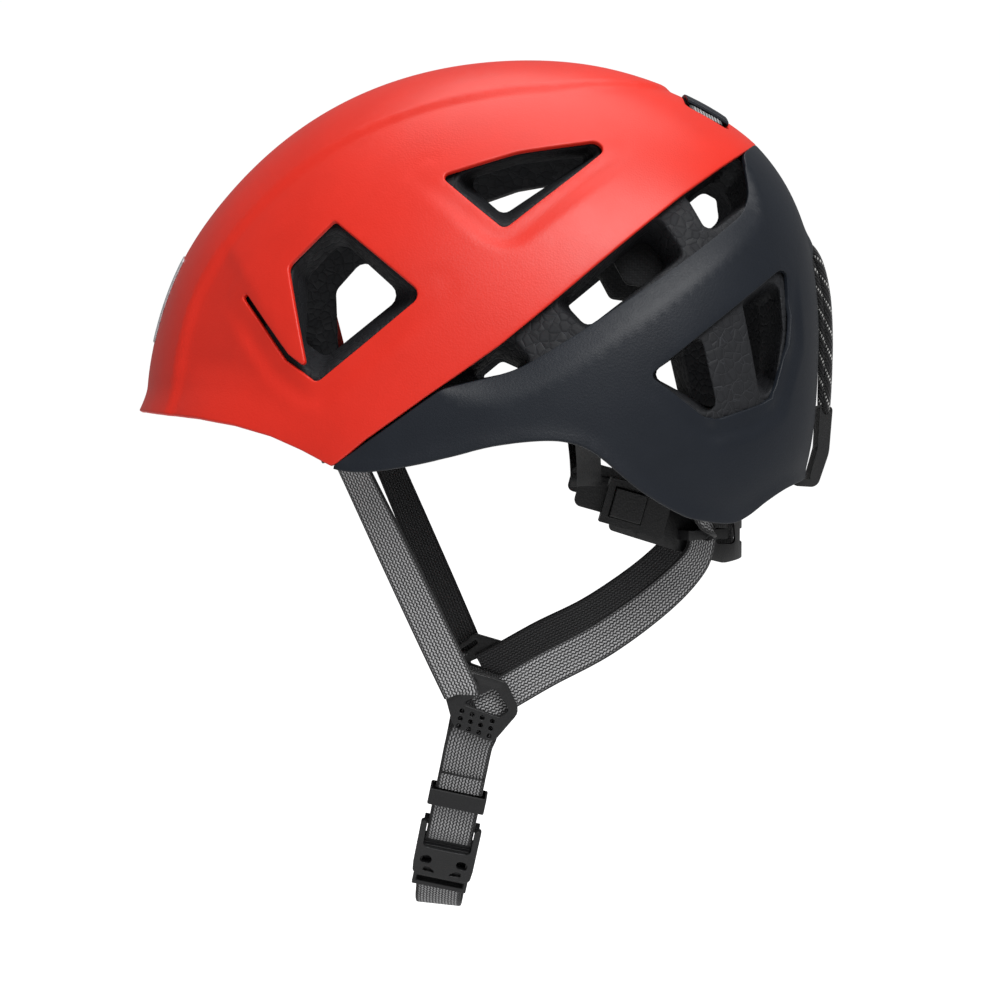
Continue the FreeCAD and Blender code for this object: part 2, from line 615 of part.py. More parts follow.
nape_region = through_cut(
    "nape_pad_region", [(-88.0, -18.5, 4), (-130.0, -21.0, 0), (-130.0, -35.5, 0), (-88.0, -34.0, 4)])
nape_inset = dim("cradle_wall") + dim("pad_gap")
keep(band("nape_pad", nape_inset, nape_inset + dim("nape_pad_wall"), nape_region), "nape_pad")


# ---------------------------------------------------------------- lamp keeper

keep(feature("keeper_cord", tube(CORD_ROUTE, dim("cord_radius"))), "lamp_keeper_cord")
HOOK = [
    (-146.2, 29.0, 2.5), (-140.6, 29.0, 2), (-139.6, 10.0, 10), (-136.6, -1.0, 2), (-136.4, -3.6, 0.4),
    (-129.5, -3.6, 1), (-129.5, -6.6, 1.4), (-139.5, -7.2, 4), (-144.6, 8.0, 20),
]
hook_prism = prism("hook_prism", side_sketch("hook_sketch", HOOK), 7.5, 7.5)
keep(cut("lamp_keeper_hook_solid", hook_prism, [cord_room]), "lamp_keeper_hook")


# ---------------------------------------------------------------- yokes

YOKE = [
    (14.7, -81.2, 2), (12.6, -80.4, 2), (-3.0, -85.0, 5), (-8.9, -97.5, 5), (2.3, -110.6, 4),
    (18.8, -104.0, 5), (22.8, -89.0, 5),
]
YOKE_WINDOW = [(16.4, -93.8, 1.5), (0.8, -88.2, 2), (-4.8, -97.3, 2), (-0.4, -99.8, 2)]
YOKE_FRONT_SLIT = [(19.9, -91.4, 0.8), (10.9, -84.8, 0.8), (12.1, -83.2, 0.8), (21.1, -89.4, 0.8)]
YOKE_CHIN_SLIT = [(15.9, -101.6, 0.9), (1.2, -107.4, 0.9), (0.4, -105.4, 0.9), (15.1, -99.6, 0.9)]


def yoke_slice(name, outline, extra):
    """The outline pushed through the yoke's thickness, longer at both faces by extra."""
    inner = dim("yoke_inner_face") - extra
    return prism(name, side_sketch(name + "_sketch", outline, inner), f"Sizes.yoke_thickness + {2 * extra}", 0.0)


yoke = cut("yoke_solid", yoke_slice("yoke_plate", YOKE, 0.0), [
    yoke_slice("yoke_window", YOKE_WINDOW, 2.0), yoke_slice("yoke_front_slit", YOKE_FRONT_SLIT, 2.0),
    yoke_slice("yoke_chin_slit", YOKE_CHIN_SLIT, 2.0)])
keep_pair(yoke, "yoke")


# ---------------------------------------------------------------- front and rear straps

OUTWARD = Vector(0.0, 1.0, 0.12)
front_route = [
    (point_along(FRONT_EXIT, front_run, -16.0), FRONT_FACE),
    (FRONT_EXIT, FRONT_FACE),
    (FRONT_EXIT * 0.5 + YOKE_FRONT * 0.5, Vector(0.32, 0.93, 0.1)),
    (YOKE_FRONT, OUTWARD)]
front_strap = feature("front_strap_solid", ribbon(front_route, dim("webbing_width"), 5))
keep_pair(front_strap, "front_strap")

guide_middle = guide_place.Base + guide_out * 2.0
rear_route = [
    (REAR_INSIDE * 0.7 + REAR_EXIT * 0.3, REAR_FACE),
    (REAR_INSIDE * 0.5 + REAR_EXIT * 0.5, REAR_FACE),
    (REAR_EXIT, REAR_FACE),
    (Vector(-85.8, 49.5, -20.0), Vector(-0.45, 0.60, 0.62)),
    (guide_middle + Vector(0.1, 1.3, 3.6), guide_out + Vector(0, 0, 0.3)),
    (guide_middle + Vector(0, 0, -1.5), guide_out),
    (Vector(-82.4, 43.8, -36.5), guide_out),
    (Vector(-67.5, 46.0, -51.5), Vector(-0.25, 0.97, 0.0)),
    (Vector(-43.5, 50.5, -68.5), Vector(0.0, 1.0, 0.1)),
    (Vector(-19.5, 53.5, -81.0), Vector(0.0, 1.0, 0.05)),
    (Vector(-2.0, 54.7, -91.0), Vector(0.0, 1.0, 0.0))]
rear_strap = feature("rear_strap_solid", ribbon(rear_route, dim("webbing_width"), 4))
keep_pair(rear_strap, "rear_strap")


# ---------------------------------------------------------------- chin webbing, keeper and buckle

BUCKLE_MIDDLE = Vector(23.3, 29.0, -164.8)
buckle_run = Vector(0.174, -0.489, -0.856).normalize()
BUCKLE = strap_frame(BUCKLE_MIDDLE, buckle_run, Vector(0, 1, 0))
buckle_face = BUCKLE.Rotation.multVec(Vector(0, 1, 0))

body_spans = ((None, "Sizes.buckle_width"), (None, "Sizes.buckle_thickness"), (-9.5, 16.5))
ladder_spans = ((None, "Sizes.buckle_width - 1"), (None, 3.8), (7.0, 12.5))
female = cut("buckle_female_solid", fuse("buckle_female_blank", [
    block("buckle_body", body_spans, BUCKLE), block("buckle_ladder", ladder_spans, BUCKLE)]), [
    block("ladder_window", ((None, 20.8), (None, 20.0), (9.5, 7.5)), BUCKLE),
    block("buckle_cavity", ((None, 19.6), (None, 4.4), (-12.0, 17.5)), BUCKLE),
    block("side_window", ((None, 40.0), (None, 4.4), (-4.8, 6.0)), BUCKLE),
    block("sight_front", ((4.2, 5.2), (None, 20.0), (-3.0, 5.6)), BUCKLE),
    block("sight_back", ((-9.4, 5.2), (None, 20.0), (-3.0, 5.6)), BUCKLE)])
keep(female, "buckle_female")

male = cut("buckle_male_solid", fuse("buckle_male_blank", [
    block("male_base", ((None, "Sizes.buckle_width - 1"), (None, 5.6), (-18.0, 8.0)), BUCKLE),
    block("male_tongue", ((None, 4.4), (None, "Sizes.prong_thickness"), (-12.0, 16.5)), BUCKLE)]), [
    block("male_web_slot", ((None, 20.8), (None, 20.0), (-15.4, 2.8)), BUCKLE)])
keep(male, "buckle_male")

prong_blocks = []
for label, beam_start, barb_start in (("a", 4.8, 7.0), ("b", -7.2, -12.0)):
    prong_blocks.append(fuse("prong_" + label, [
        block("prong_beam_" + label, ((beam_start, 2.4), (None, "Sizes.prong_thickness"), (-9.9, 13.4)), BUCKLE),
        block("prong_barb_" + label, ((barb_start, 5.0), (None, "Sizes.prong_thickness"), (-4.2, 4.6)), BUCKLE)]))
keep(fuse("buckle_prongs_solid", prong_blocks), "buckle_prongs")

strap_end = point_along(BUCKLE_MIDDLE, buckle_run, -20.0)
strap_bend = Vector(12.4, 53.6, -112.0)
chin_run = (strap_end - strap_bend).normalize()
chin_length = (strap_end - strap_bend).Length
chin_face = strap_frame(strap_end, chin_run, Vector(0, 1, 0)).Rotation.multVec(Vector(0, 1, 0))
straight = [(point_along(strap_bend, chin_run, chin_length * i / 4.0), chin_face) for i in range(5)]
left_route = [(Vector(8.6, 54.6, -101.6), Vector(0, 1, 0)), (Vector(10.2, 54.9, -106.4), Vector(0, 1, 0))] + straight
TAIL_LIFT = 1.9
tail_route = [
    (point_along(strap_end, chin_run, -back) + chin_face * TAIL_LIFT, chin_face) for back in (24.0, 16.0, 8.0, 1.0)]
chin_left = feature("chin_left_main", ribbon(left_route, dim("chin_webbing_width")))
chin_tail = feature("chin_left_tail", ribbon(tail_route, dim("chin_webbing_width")))
keep(chin_left, "chin_strap_left")
keep(chin_tail, "chin_strap_tail")

keeper_place = strap_frame(
    point_along(strap_end, chin_run, -12.5) + chin_face * (TAIL_LIFT / 2.0), chin_run, Vector(0, 1, 0))
keeper = cut("strap_keeper_solid", block("keeper_block", ((None, 24.4), (None, 7.4), (None, 8.0)), keeper_place), [
    block("keeper_hole", ((None, 21.2), (None, 4.6), (None, 20.0)), keeper_place)])
keep(keeper, "strap_keeper")

male_end = point_along(BUCKLE_MIDDLE, buckle_run, 18.6)
right_route = [
    (male_end, buckle_face),
    (Vector(27.3, 12.6, -188.6), Vector(0.1, 0.62, -0.78)),
    (Vector(27.2, 4.0, -192.6), Vector(0.1, 0.2, -0.97)),
    (Vector(26.8, -5.0, -192.4), Vector(0.1, -0.25, -0.96)),
    (Vector(25.8, -15.0, -187.0), Vector(0.1, -0.7, -0.7)),
    (Vector(23.3, -29.0, -164.8), Vector(buckle_face.x, -buckle_face.y, buckle_face.z)),
    (Vector(strap_end.x, -strap_end.y, strap_end.z), Vector(chin_face.x, -chin_face.y, chin_face.z)),
    (Vector(16.1, -46.2, -129.8), Vector(chin_face.x, -chin_face.y, chin_face.z)),
    (Vector(strap_bend.x, -strap_bend.y, strap_bend.z), Vector(0.03, -0.98, -0.15)),
    (Vector(8.6, -54.6, -101.6), Vector(0, -1, 0))]
keep(feature("chin_right_solid", ribbon(right_route, dim("chin_webbing_width"), 4)), "chin_strap_right")


# ---------------------------------------------------------------- checks and export

doc.recompute()
faults = []
for obj in doc.Objects:
    if "Invalid" in obj.State or "Error" in obj.State:
        faults.append(obj.Name + " did not compute")
for obj in kept:
    if obj.Shape.isNull() or not obj.Shape.isValid():
        faults.append(obj.Label + " has no valid shape")
if faults:
    raise RuntimeError("; ".join(faults))

os.makedirs("parts", exist_ok=True)
for obj in kept:
    obj.Shape.exportStep(os.path.join("parts", obj.Label + ".step"))
print(len(kept), "sub-parts written")
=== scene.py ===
"""Looks of a climbing helmet. Lengths are in millimetres until a mesh is made, and then in metres.

Frame: +X forward, +Y the wearer's left, +Z up, origin at the centre of the head opening.
"""
import math

import bmesh
import bpy
import numpy as np
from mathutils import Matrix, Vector
from mathutils.geometry import delaunay_2d_cdt


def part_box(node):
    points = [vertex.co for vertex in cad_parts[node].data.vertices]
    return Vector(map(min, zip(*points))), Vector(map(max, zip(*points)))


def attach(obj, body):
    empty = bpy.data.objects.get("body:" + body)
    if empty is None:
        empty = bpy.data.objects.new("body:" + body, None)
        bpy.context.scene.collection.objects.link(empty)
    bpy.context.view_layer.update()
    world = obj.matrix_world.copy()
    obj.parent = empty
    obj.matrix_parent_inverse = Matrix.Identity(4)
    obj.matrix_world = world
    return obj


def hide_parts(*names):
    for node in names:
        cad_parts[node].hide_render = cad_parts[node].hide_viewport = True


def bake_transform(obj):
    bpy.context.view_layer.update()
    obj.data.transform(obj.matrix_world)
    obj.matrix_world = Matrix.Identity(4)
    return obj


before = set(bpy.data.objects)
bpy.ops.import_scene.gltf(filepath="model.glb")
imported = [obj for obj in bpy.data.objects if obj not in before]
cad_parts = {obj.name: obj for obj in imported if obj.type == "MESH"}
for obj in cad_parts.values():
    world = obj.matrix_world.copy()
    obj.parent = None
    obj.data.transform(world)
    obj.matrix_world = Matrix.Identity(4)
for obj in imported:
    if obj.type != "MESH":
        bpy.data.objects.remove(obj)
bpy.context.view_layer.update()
MM = 0.001

# ---------------------------------------------------------------- head form

# Side profile of the outer skin, as (X, Z), from the brow over the crown to the nape and back below.
PROFILE = [
    (154.0, 27.0), (149.5, 62.0), (137.5, 93.5), (119.0, 120.0), (91.0, 146.5), (58.0, 165.5),
    (24.5, 175.6), (-9.0, 179.0), (-42.0, 176.5), (-75.0, 166.5), (-107.5, 147.0), (-128.0, 120.0),
    (-138.0, 85.0), (-139.5, 45.0), (-134.0, 0.0), (-112.0, -40.0), (-60.0, -78.0), (20.0, -88.0),
    (95.0, -65.0), (140.0, -20.0),
]
EAR_AXIS = np.array([5.0, -25.0])
HALF_WIDTH = 111.0
POWER = 2.3


def periodic_spline(angles, values):
    """A smooth closed curve through values at angles, as a function of the angle."""
    order = np.argsort(angles)
    a, v = angles[order], values[order]
    n = len(a)
    h = np.diff(np.append(a, a[0] + 2 * math.pi))
    system = np.zeros((n, n))
    right = np.zeros(n)
    for i in range(n):
        j = (i + 1) % n
        system[i, i - 1] += h[i - 1]
        system[i, i] += 2 * (h[i - 1] + h[i])
        system[i, j] += h[i]
        right[i] = 6 * ((v[j] - v[i]) / h[i] - (v[i] - v[i - 1]) / h[i - 1])
    bend = np.linalg.solve(system, right)

    def evaluate(x):
        x = np.mod(np.asarray(x) - a[0], 2 * math.pi) + a[0]
        i = np.clip(np.searchsorted(a, x, side="right") - 1, 0, n - 1)
        j = (i + 1) % n
        t = x - a[i]
        u = h[i] - t
        return (
            (bend[i] * u ** 3 + bend[j] * t ** 3) / (6 * h[i])
            + (v[i] / h[i] - bend[i] * h[i] / 6) * u + (v[j] / h[i] - bend[j] * h[i] / 6) * t)

    return evaluate


profile_arms = np.array(PROFILE) - EAR_AXIS
profile_radius = periodic_spline(
    np.arctan2(profile_arms[:, 1], profile_arms[:, 0]), np.hypot(profile_arms[:, 0], profile_arms[:, 1]))


def polar(points):
    """(distance, angle) of side-view or plan points about the ear axis."""
    arms = np.asarray(points, float)[:, :2] - EAR_AXIS
    return np.hypot(arms[:, 0], arms[:, 1]), np.arctan2(arms[:, 1], arms[:, 0])


def fill_share(side, inset=0.0):
    """How far out a side-view point lies: 1 on the profile of the form at that inset."""
    distance, angle = polar(side)
    return distance / (profile_radius(angle) - inset)


def to_plan(side, inset=0.0):
    """Side-view points on the skin, unrolled to the plan where the mid-plane is the profile."""
    distance, angle = polar(side)
    radius = profile_radius(angle)
    share = np.clip(distance / (radius - inset), 0, 1)
    reach = 2 / math.pi * np.arcsin(share ** (POWER / 2)) * radius
    return EAR_AXIS + np.stack([reach * np.cos(angle), reach * np.sin(angle)], 1)


def on_form(plan, inset=0.0):
    """Points in space of plan points, on the left half of the form at that inset."""
    reach, angle = polar(plan)
    radius = profile_radius(angle)
    share = np.clip(reach / radius, 0, 1)
    distance = (radius - inset) * np.sin(share * math.pi / 2) ** (2 / POWER)
    y = (HALF_WIDTH - inset) * np.cos(share * math.pi / 2) ** (2 / POWER)
    y[share > 0.9997] = 0
    return np.stack([EAR_AXIS[0] + distance * np.cos(angle), y, EAR_AXIS[1] + distance * np.sin(angle)], 1)


def plan_at_width(angle_deg, y):
    """Plan points at angles about the ear axis where the outer skin is at that Y."""
    angle = np.radians(np.asarray(angle_deg, float))
    share = 2 / math.pi * np.arccos((np.asarray(y) / HALF_WIDTH) ** (POWER / 2))
    reach = share * profile_radius(angle)
    return EAR_AXIS + np.stack([reach * np.cos(angle), reach * np.sin(angle)], 1)


# ---------------------------------------------------------------- outlines

ARC_STEPS = 4


def rounded(corners, spacing=2.0, counts=None):
    """Points round a closed outline of (u, v, radius) corners, and how many each straight run got.

    With counts from another outline of as many corners, the two match point by point.
    """
    corners = np.array(corners, float)
    n = len(corners)
    arcs = []
    for i in range(n):
        here = corners[i, :2]
        back = corners[i - 1, :2] - here
        ahead = corners[(i + 1) % n, :2] - here
        room = 0.48 * min(np.hypot(*back), np.hypot(*ahead))
        back, ahead = back / np.hypot(*back), ahead / np.hypot(*ahead)
        half = math.acos(max(-1.0, min(1.0, float(back @ ahead)))) / 2
        reach = min(max(corners[i, 2], 0.3) / math.tan(half), room) if half < 1.55 else 0.3
        start, end = here + back * reach, here + ahead * reach
        steps = np.linspace(0, 1, ARC_STEPS + 1)[:, None]
        # A rational quadratic with this weight is the corner's arc.
        weight = math.sin(half)
        bottom = (1 - steps) ** 2 + 2 * weight * steps * (1 - steps) + steps ** 2
        arcs.append(((1 - steps) ** 2 * start + 2 * weight * steps * (1 - steps) * here + steps ** 2 * end) / bottom)
    points, used = [], []
    for i in range(n):
        points.extend(arcs[i])
        gap = arcs[(i + 1) % n][0] - arcs[i][-1]
        count = max(0, int(np.hypot(*gap) / spacing)) if counts is None else counts[i]
        used.append(count)
        for k in range(1, count):
            points.append(arcs[i][-1] + gap * k / count)
    return np.array(points), used


def resample(points, spacing, count=None):
    """Points at equal steps along a polyline in any number of dimensions."""
    steps = np.linalg.norm(np.diff(points, axis=0), axis=1)
    travel = np.append(0, np.cumsum(steps))
    count = count or max(2, int(round(travel[-1] / spacing)) + 1)
    at = np.linspace(0, travel[-1], count)
    return np.stack([np.interp(at, travel, points[:, k]) for k in range(points.shape[1])], 1)


def smooth_line(points, per_leg=12):
    """A Catmull-Rom curve through the points."""
    p = np.array(points, float)
    p = np.vstack([2 * p[0] - p[1], p, 2 * p[-1] - p[-2]])
    out = []
    for i in range(1, len(p) - 2):
        for t in np.linspace(0, 1, per_leg, endpoint=False):
            out.append(0.5 * (
                2 * p[i] + (p[i + 1] - p[i - 1]) * t
                + (2 * p[i - 1] - 5 * p[i] + 4 * p[i + 1] - p[i + 2]) * t * t
                + (3 * p[i] - p[i - 1] - 3 * p[i + 1] + p[i + 2]) * t ** 3))
    out.append(p[-2])
    return np.array(out)


def rim_line(corners, inset, spacing, count=None):
    """The plan line of an open side-view outline, cut off where it meets the mid-plane at both ends."""
    line = resample(np.array(corners, float), 0.2)
    share = fill_share(line, inset)
    inside = np.where(share < 1)[0]
    line = line[inside[0]:inside[-1] + 1]
    ends = []
    for k, outer in ((0, corners[0]), (-1, corners[-1])):
        near, far = line[k], np.array(outer, float)[:2]
        for _ in range(40):
            middle = (near + far) / 2
            if fill_share(middle[None], inset)[0] < 1:
                near = middle
            else:
                far = middle
        ends.append(near)
    # Points crowd towards the ends, where the skin turns away from the side view.
    crowd = np.linspace(0, 1, 40)[1:, None] ** 3
    first = ends[0] + (line[0] - ends[0]) * crowd
    last = ends[1] + (line[-1] - ends[1]) * crowd[::-1]
    line = np.vstack([ends[0][None], first[:-1], line, last[1:], ends[1][None]])
    plan = to_plan(line, inset)
    space = on_form(plan, inset)
    travel = np.append(0, np.cumsum(np.linalg.norm(np.diff(space, axis=0), axis=1)))
    at = np.linspace(0, travel[-1], count or int(round(travel[-1] / spacing)) + 1)
    plan = np.stack([np.interp(at, travel, plan[:, k]) for k in range(2)], 1)
    for k in (0, -1):
        distance, angle = polar(plan[k][None])
        plan[k] = EAR_AXIS + (plan[k] - EAR_AXIS) * profile_radius(angle) / distance
    return plan


def mid_line(start, end, spacing):
    """Plan points on the mid-plane from one point to another over the crown, without the end points."""
    a = math.atan2(*(start - EAR_AXIS)[::-1])
    b = math.atan2(*(end - EAR_AXIS)[::-1])
    if a < b - math.pi:
        a += 2 * math.pi
    angles = np.linspace(a, b, 400)
    radius = profile_radius(angles)
    line = EAR_AXIS + np.stack([radius * np.cos(angles), radius * np.sin(angles)], 1)
    return resample(line, spacing)[1:-1]


def inside_polygon(points, polygon):
    """Which points lie inside a closed polygon."""
    x, y = points[:, 0], points[:, 1]
    inside = np.zeros(len(points), bool)
    for (x0, y0), (x1, y1) in zip(polygon, np.roll(polygon, -1, axis=0)):
        crosses = (y0 > y) != (y1 > y)
        with np.errstate(divide="ignore", invalid="ignore"):
            inside ^= crosses & (x < (x1 - x0) * (y - y0) / (y1 - y0) + x0)
    return inside


def line_distance(points, line):
    """Distance of each point to a polyline."""
    best = np.full(len(points), 1e9)
    for a, b in zip(line[:-1], line[1:]):
        run = b - a
        length = float(run @ run)
        if length < 1e-12:
            continue
        t = np.clip((points - a) @ run / length, 0, 1)
        best = np.minimum(best, np.linalg.norm(points - a - t[:, None] * run, axis=1))
    return best


def smoothstep(low, high, value):
    t = np.clip((value - low) / (high - low), 0, 1)
    return t * t * (3 - 2 * t)


# ---------------------------------------------------------------- meshing

def triangulate(outer, holes, spacing, creases=(), keep_clear=0.7):
    """Triangles of a plan region with holes. Outlines and creases become rows of vertices.

    Returns the plan points, the triangles, and each outline as indices.
    """
    lows, highs = outer.min(0), outer.max(0)
    rows = np.arange(lows[1], highs[1], spacing * 0.866)
    grid = []
    for k, v in enumerate(rows):
        for u in np.arange(lows[0] + (k % 2) * spacing / 2, highs[0], spacing):
            grid.append((u, v))
    grid = np.array(grid)
    keep = inside_polygon(grid, outer)
    for hole in holes:
        keep &= ~inside_polygon(grid, hole)
    grid = grid[keep]
    closed = [np.vstack([line, line[:1]]) for line in [outer] + list(holes)]
    for line in closed + list(creases):
        grid = grid[line_distance(grid, line) > spacing * keep_clear]
    verts, edges, index = [], [], []
    for loop in [outer] + list(holes):
        start = len(verts)
        verts.extend(loop)
        index.append(list(range(start, start + len(loop))))
        edges += [(start + i, start + (i + 1) % len(loop)) for i in range(len(loop))]
    for line in creases:
        start = len(verts)
        verts.extend(line)
        edges += [(start + i, start + i + 1) for i in range(len(line) - 1)]
    verts.extend(grid)
    out, _, faces, _, _, _ = delaunay_2d_cdt([Vector(v) for v in verts], edges, [], 0, 1e-5, False)
    if len(out) != len(verts):
        print("triangulate: vertices", len(verts), "->", len(out))
    plan = np.array([(v.x, v.y) for v in out])
    tris = np.array([f for f in faces if len(f) == 3])
    middle = plan[tris].mean(1)
    keep = inside_polygon(middle, outer)
    for hole in holes:
        keep &= ~inside_polygon(middle, hole)
    return plan, tris[keep], index


def vertex_normals(points, tris):
    """Area-weighted normals. On the mid-plane they have no sideways part."""
    a, b, c = points[tris[:, 0]], points[tris[:, 1]], points[tris[:, 2]]
    face = np.cross(b - a, c - a)
    normals = np.zeros_like(points)
    for k in range(3):
        np.add.at(normals, tris[:, k], face)
    normals[points[:, 1] == 0, 1] = 0
    length = np.linalg.norm(normals, axis=1)
    length[length == 0] = 1
    normals /= length[:, None]
    middle = np.array([EAR_AXIS[0], 0, 40.0])
    if np.sum((points - middle) * normals) < 0:
        normals = -normals
    return normals


def edge_directions(points, tris, normals, loop, closed):
    """For each vertex of an outline, the direction in the skin that points out of the material."""
    centre = np.zeros_like(points)
    count = np.zeros(len(points))
    middle = points[tris].mean(1)
    for k in range(3):
        np.add.at(centre, tris[:, k], middle)
        np.add.at(count, tris[:, k], 1)
    loop = np.array(loop)
    if closed:
        run = points[np.roll(loop, -1)] - points[np.roll(loop, 1)]
    else:
        run = np.gradient(points[loop], axis=0)
        run[0, [0, 2]] = 0
        run[-1, [0, 2]] = 0
    out = np.cross(run, normals[loop])
    away = points[loop] - centre[loop] / np.maximum(count[loop], 1)[:, None]
    out[np.sum(out * away, 1) < 0] *= -1
    flat = points[loop][:, 1] == 0
    out[flat, 1] = 0
    return out / np.maximum(np.linalg.norm(out, axis=1), 1e-9)[:, None]


def closed_wall(outer, outer_tris, outer_loops, inner, inner_tris, inner_loops, radius, closed,
                ring_gap=4.0):
    """Points and faces of the body between two skins of the left half.

    Each pair of outlines is joined by a wall with rounded edges. closed says which outlines are whole: the
    others end at the mid-plane.
    """
    outer, inner = outer.copy(), inner.copy()
    normals_out = vertex_normals(outer, outer_tris)
    normals_in = vertex_normals(inner, inner_tris)
    verts = [outer, inner]
    faces = [tuple(t) for t in outer_tris] + [tuple(t + len(outer)) for t in inner_tris]
    base = len(outer) + len(inner)
    new_outer, new_inner = outer.copy(), inner.copy()
    for loop_o, loop_i, whole in zip(outer_loops, inner_loops, closed):
        p, q = outer[loop_o], inner[loop_i]
        b_out = edge_directions(outer, outer_tris, normals_out, loop_o, whole)
        b_in = edge_directions(inner, inner_tris, normals_in, loop_i, whole)
        along = q - p
        depth = np.linalg.norm(along, axis=1)[:, None]
        along = along / depth
        new_outer[loop_o] = p - b_out * radius
        new_inner[loop_i] = q - b_in * radius
        rings = []
        for s in (0.25, 0.5, 0.75, 1.0):
            rings.append((1 - s) ** 2 * (p - b_out * radius) + 2 * s * (1 - s) * p + s * s * (p + along * radius))
        middle_rings = max(0, int(round((float(depth.mean()) - 2 * radius) / ring_gap)) - 1)
        for k in range(1, middle_rings + 1):
            t = k / (middle_rings + 1)
            ring = (p + along * radius) * (1 - t) + (q - along * radius) * t
            rings.append(ring)
        for s in (1.0, 0.75, 0.5, 0.25):
            rings.append((1 - s) ** 2 * (q - b_in * radius) + 2 * s * (1 - s) * q + s * s * (q - along * radius))
        previous = list(loop_o)
        size = len(loop_o)
        for ring in rings:
            if not whole:
                ring[[0, -1], 1] = 0
            verts.append(ring)
            current = list(range(base, base + size))
            base += size
            for k in range(size if whole else size - 1):
                j = (k + 1) % size
                faces.append((previous[k], previous[j], current[j], current[k]))
            previous = current
        last = [i + len(outer) for i in loop_i]
        for k in range(size if whole else size - 1):
            j = (k + 1) % size
            faces.append((previous[k], previous[j], last[j], last[k]))
    verts[0], verts[1] = new_outer, new_inner
    return np.vstack(verts), faces


def mirrored_mesh(name, points, faces):
    """A mesh of the left half and its mirror image, joined on the mid-plane. Points are in millimetres."""
    points = points.copy()
    points[np.abs(points[:, 1]) < 1e-6, 1] = 0
    flat = points[:, 1] == 0
    twin = np.where(flat, np.arange(len(points)), 0)
    twin[~flat] = len(points) + np.arange(int((~flat).sum()))
    both = np.vstack([points, points[~flat] * (1, -1, 1)])
    all_faces = [tuple(int(i) for i in f) for f in faces]
    all_faces += [tuple(int(twin[i]) for i in reversed(f)) for f in all_faces]
    return new_mesh(name, both, all_faces)


def new_mesh(name, points, faces, smooth=True):
    """An object from points in millimetres, with its normals made consistent."""
    mesh = bpy.data.meshes.new(name)
    mesh.from_pydata([tuple(p) for p in np.asarray(points) * MM], [], [tuple(f) for f in faces])
    work = bmesh.new()
    work.from_mesh(mesh)
    bmesh.ops.remove_doubles(work, verts=work.verts, dist=1e-6)
    loose = [v for v in work.verts if not v.link_faces]
    bmesh.ops.delete(work, geom=loose, context="VERTS")
    bmesh.ops.recalc_face_normals(work, faces=work.faces)
    work.to_mesh(mesh)
    work.free()
    if smooth:
        mesh.shade_smooth()
    obj = bpy.data.objects.new(name, mesh)
    bpy.context.scene.collection.objects.link(obj)
    return obj


def shell(name, tris, loops, closed, surface, wall, radius):
    """A moulded wall of even thickness behind a surface of the left half, mirrored."""
    normals = vertex_normals(surface, tris)
    return mirrored_mesh(name, *closed_wall(
        surface, tris, loops, surface - normals * wall, tris, loops, radius, closed))


def from_above(points, inset=0.0):
    """Plan points of the upper skin at that inset, under points seen from above."""
    angles = np.radians(np.linspace(40, 179, 1500))
    radius = profile_radius(angles)
    plan = []
    for x, y in points:
        share = 2 / math.pi * math.acos(min(1.0, abs(y) / (HALF_WIDTH - inset)) ** (POWER / 2))
        distance = (radius - inset) * math.sin(share * math.pi / 2) ** (2 / POWER)
        angle = np.interp(-x, -(EAR_AXIS[0] + distance * np.cos(angles)), angles)
        plan.append(EAR_AXIS + share * profile_radius(angle) * np.array([math.cos(angle), math.sin(angle)]))
    return np.array(plan)


def half_outline(corners, spacing, inset=0.0):
    """The plan line of the left half of a closed outline seen from above, front end first."""
    outline, _ = rounded(corners, spacing)
    start = np.argmin(np.abs(outline[:, 1]) + (outline[:, 0] < outline[:, 0].mean()) * 1e3)
    outline = np.roll(outline, -start, axis=0)
    half = outline[outline[:, 1] > 0.5]
    if half[0, 0] < half[-1, 0]:
        half = half[::-1]
    half = np.vstack([[half[0, 0], 0], half, [half[-1, 0], 0]])
    return from_above(half, inset)


# ---------------------------------------------------------------- crown shell

CROWN_STEP = 1.7
CROWN_EDGE = [
    (176.0, 26.4), (160.0, 26.5), (148.0, 26.9), (135.3, 26.0), (120.3, 24.7), (104.6, 22.1), (89.7, 17.9),
    (77.3, 12.6), (66.6, 7.2), (64.6, 6.3), (62.4, 7.6), (51.4, 16.7), (37.7, 26.4), (26.8, 34.2), (14.4, 42.7),
    (-1.0, 53.6), (-20.6, 69.7), (-40.4, 86.5), (-56.6, 100.0), (-73.4, 113.8), (-91.0, 127.0),
    (-105.0, 137.0), (-122.0, 149.5),
]
FRONT_VENT = [
    (66.0, 104.5, 1.5), (29.0, 73.5, 4), (71.5, 39.2, 3), (85.5, 48.4, 4), (105.0, 74.2, 1.0),
    (103.0, 75.7, 1.0), (83.2, 50.4, 3), (75.2, 44.6, 1.2), (84.6, 86.0, 4),
]
MIDDLE_VENT = [(23.5, 122.3, 2), (-8.0, 132.3, 30), (-40.0, 137.5, 4), (-43.3, 133.2, 4), (-2.6, 100.0, 3)]
STRAP_WINDOW = [(-79.5, -36.0, 3), (-79.5, 36.0, 3), (-98.0, 36.0, 3), (-98.0, -36.0, 3)]

# Half width of the raised central panel, by the angle about the ear axis.
PANEL_ANGLE = [-5, 15, 24.6, 38.7, 48, 58, 68, 78, 88, 98, 104.6, 108.4, 110.8, 112.2]
PANEL_WIDTH = [66, 64.5, 63, 58.8, 58.3, 58.4, 58.5, 58, 56, 52, 43, 34, 24, 0.5]
panel_angles = np.linspace(20, 112.2, 90)
panel_line = plan_at_width(panel_angles, np.interp(panel_angles, PANEL_ANGLE, PANEL_WIDTH))
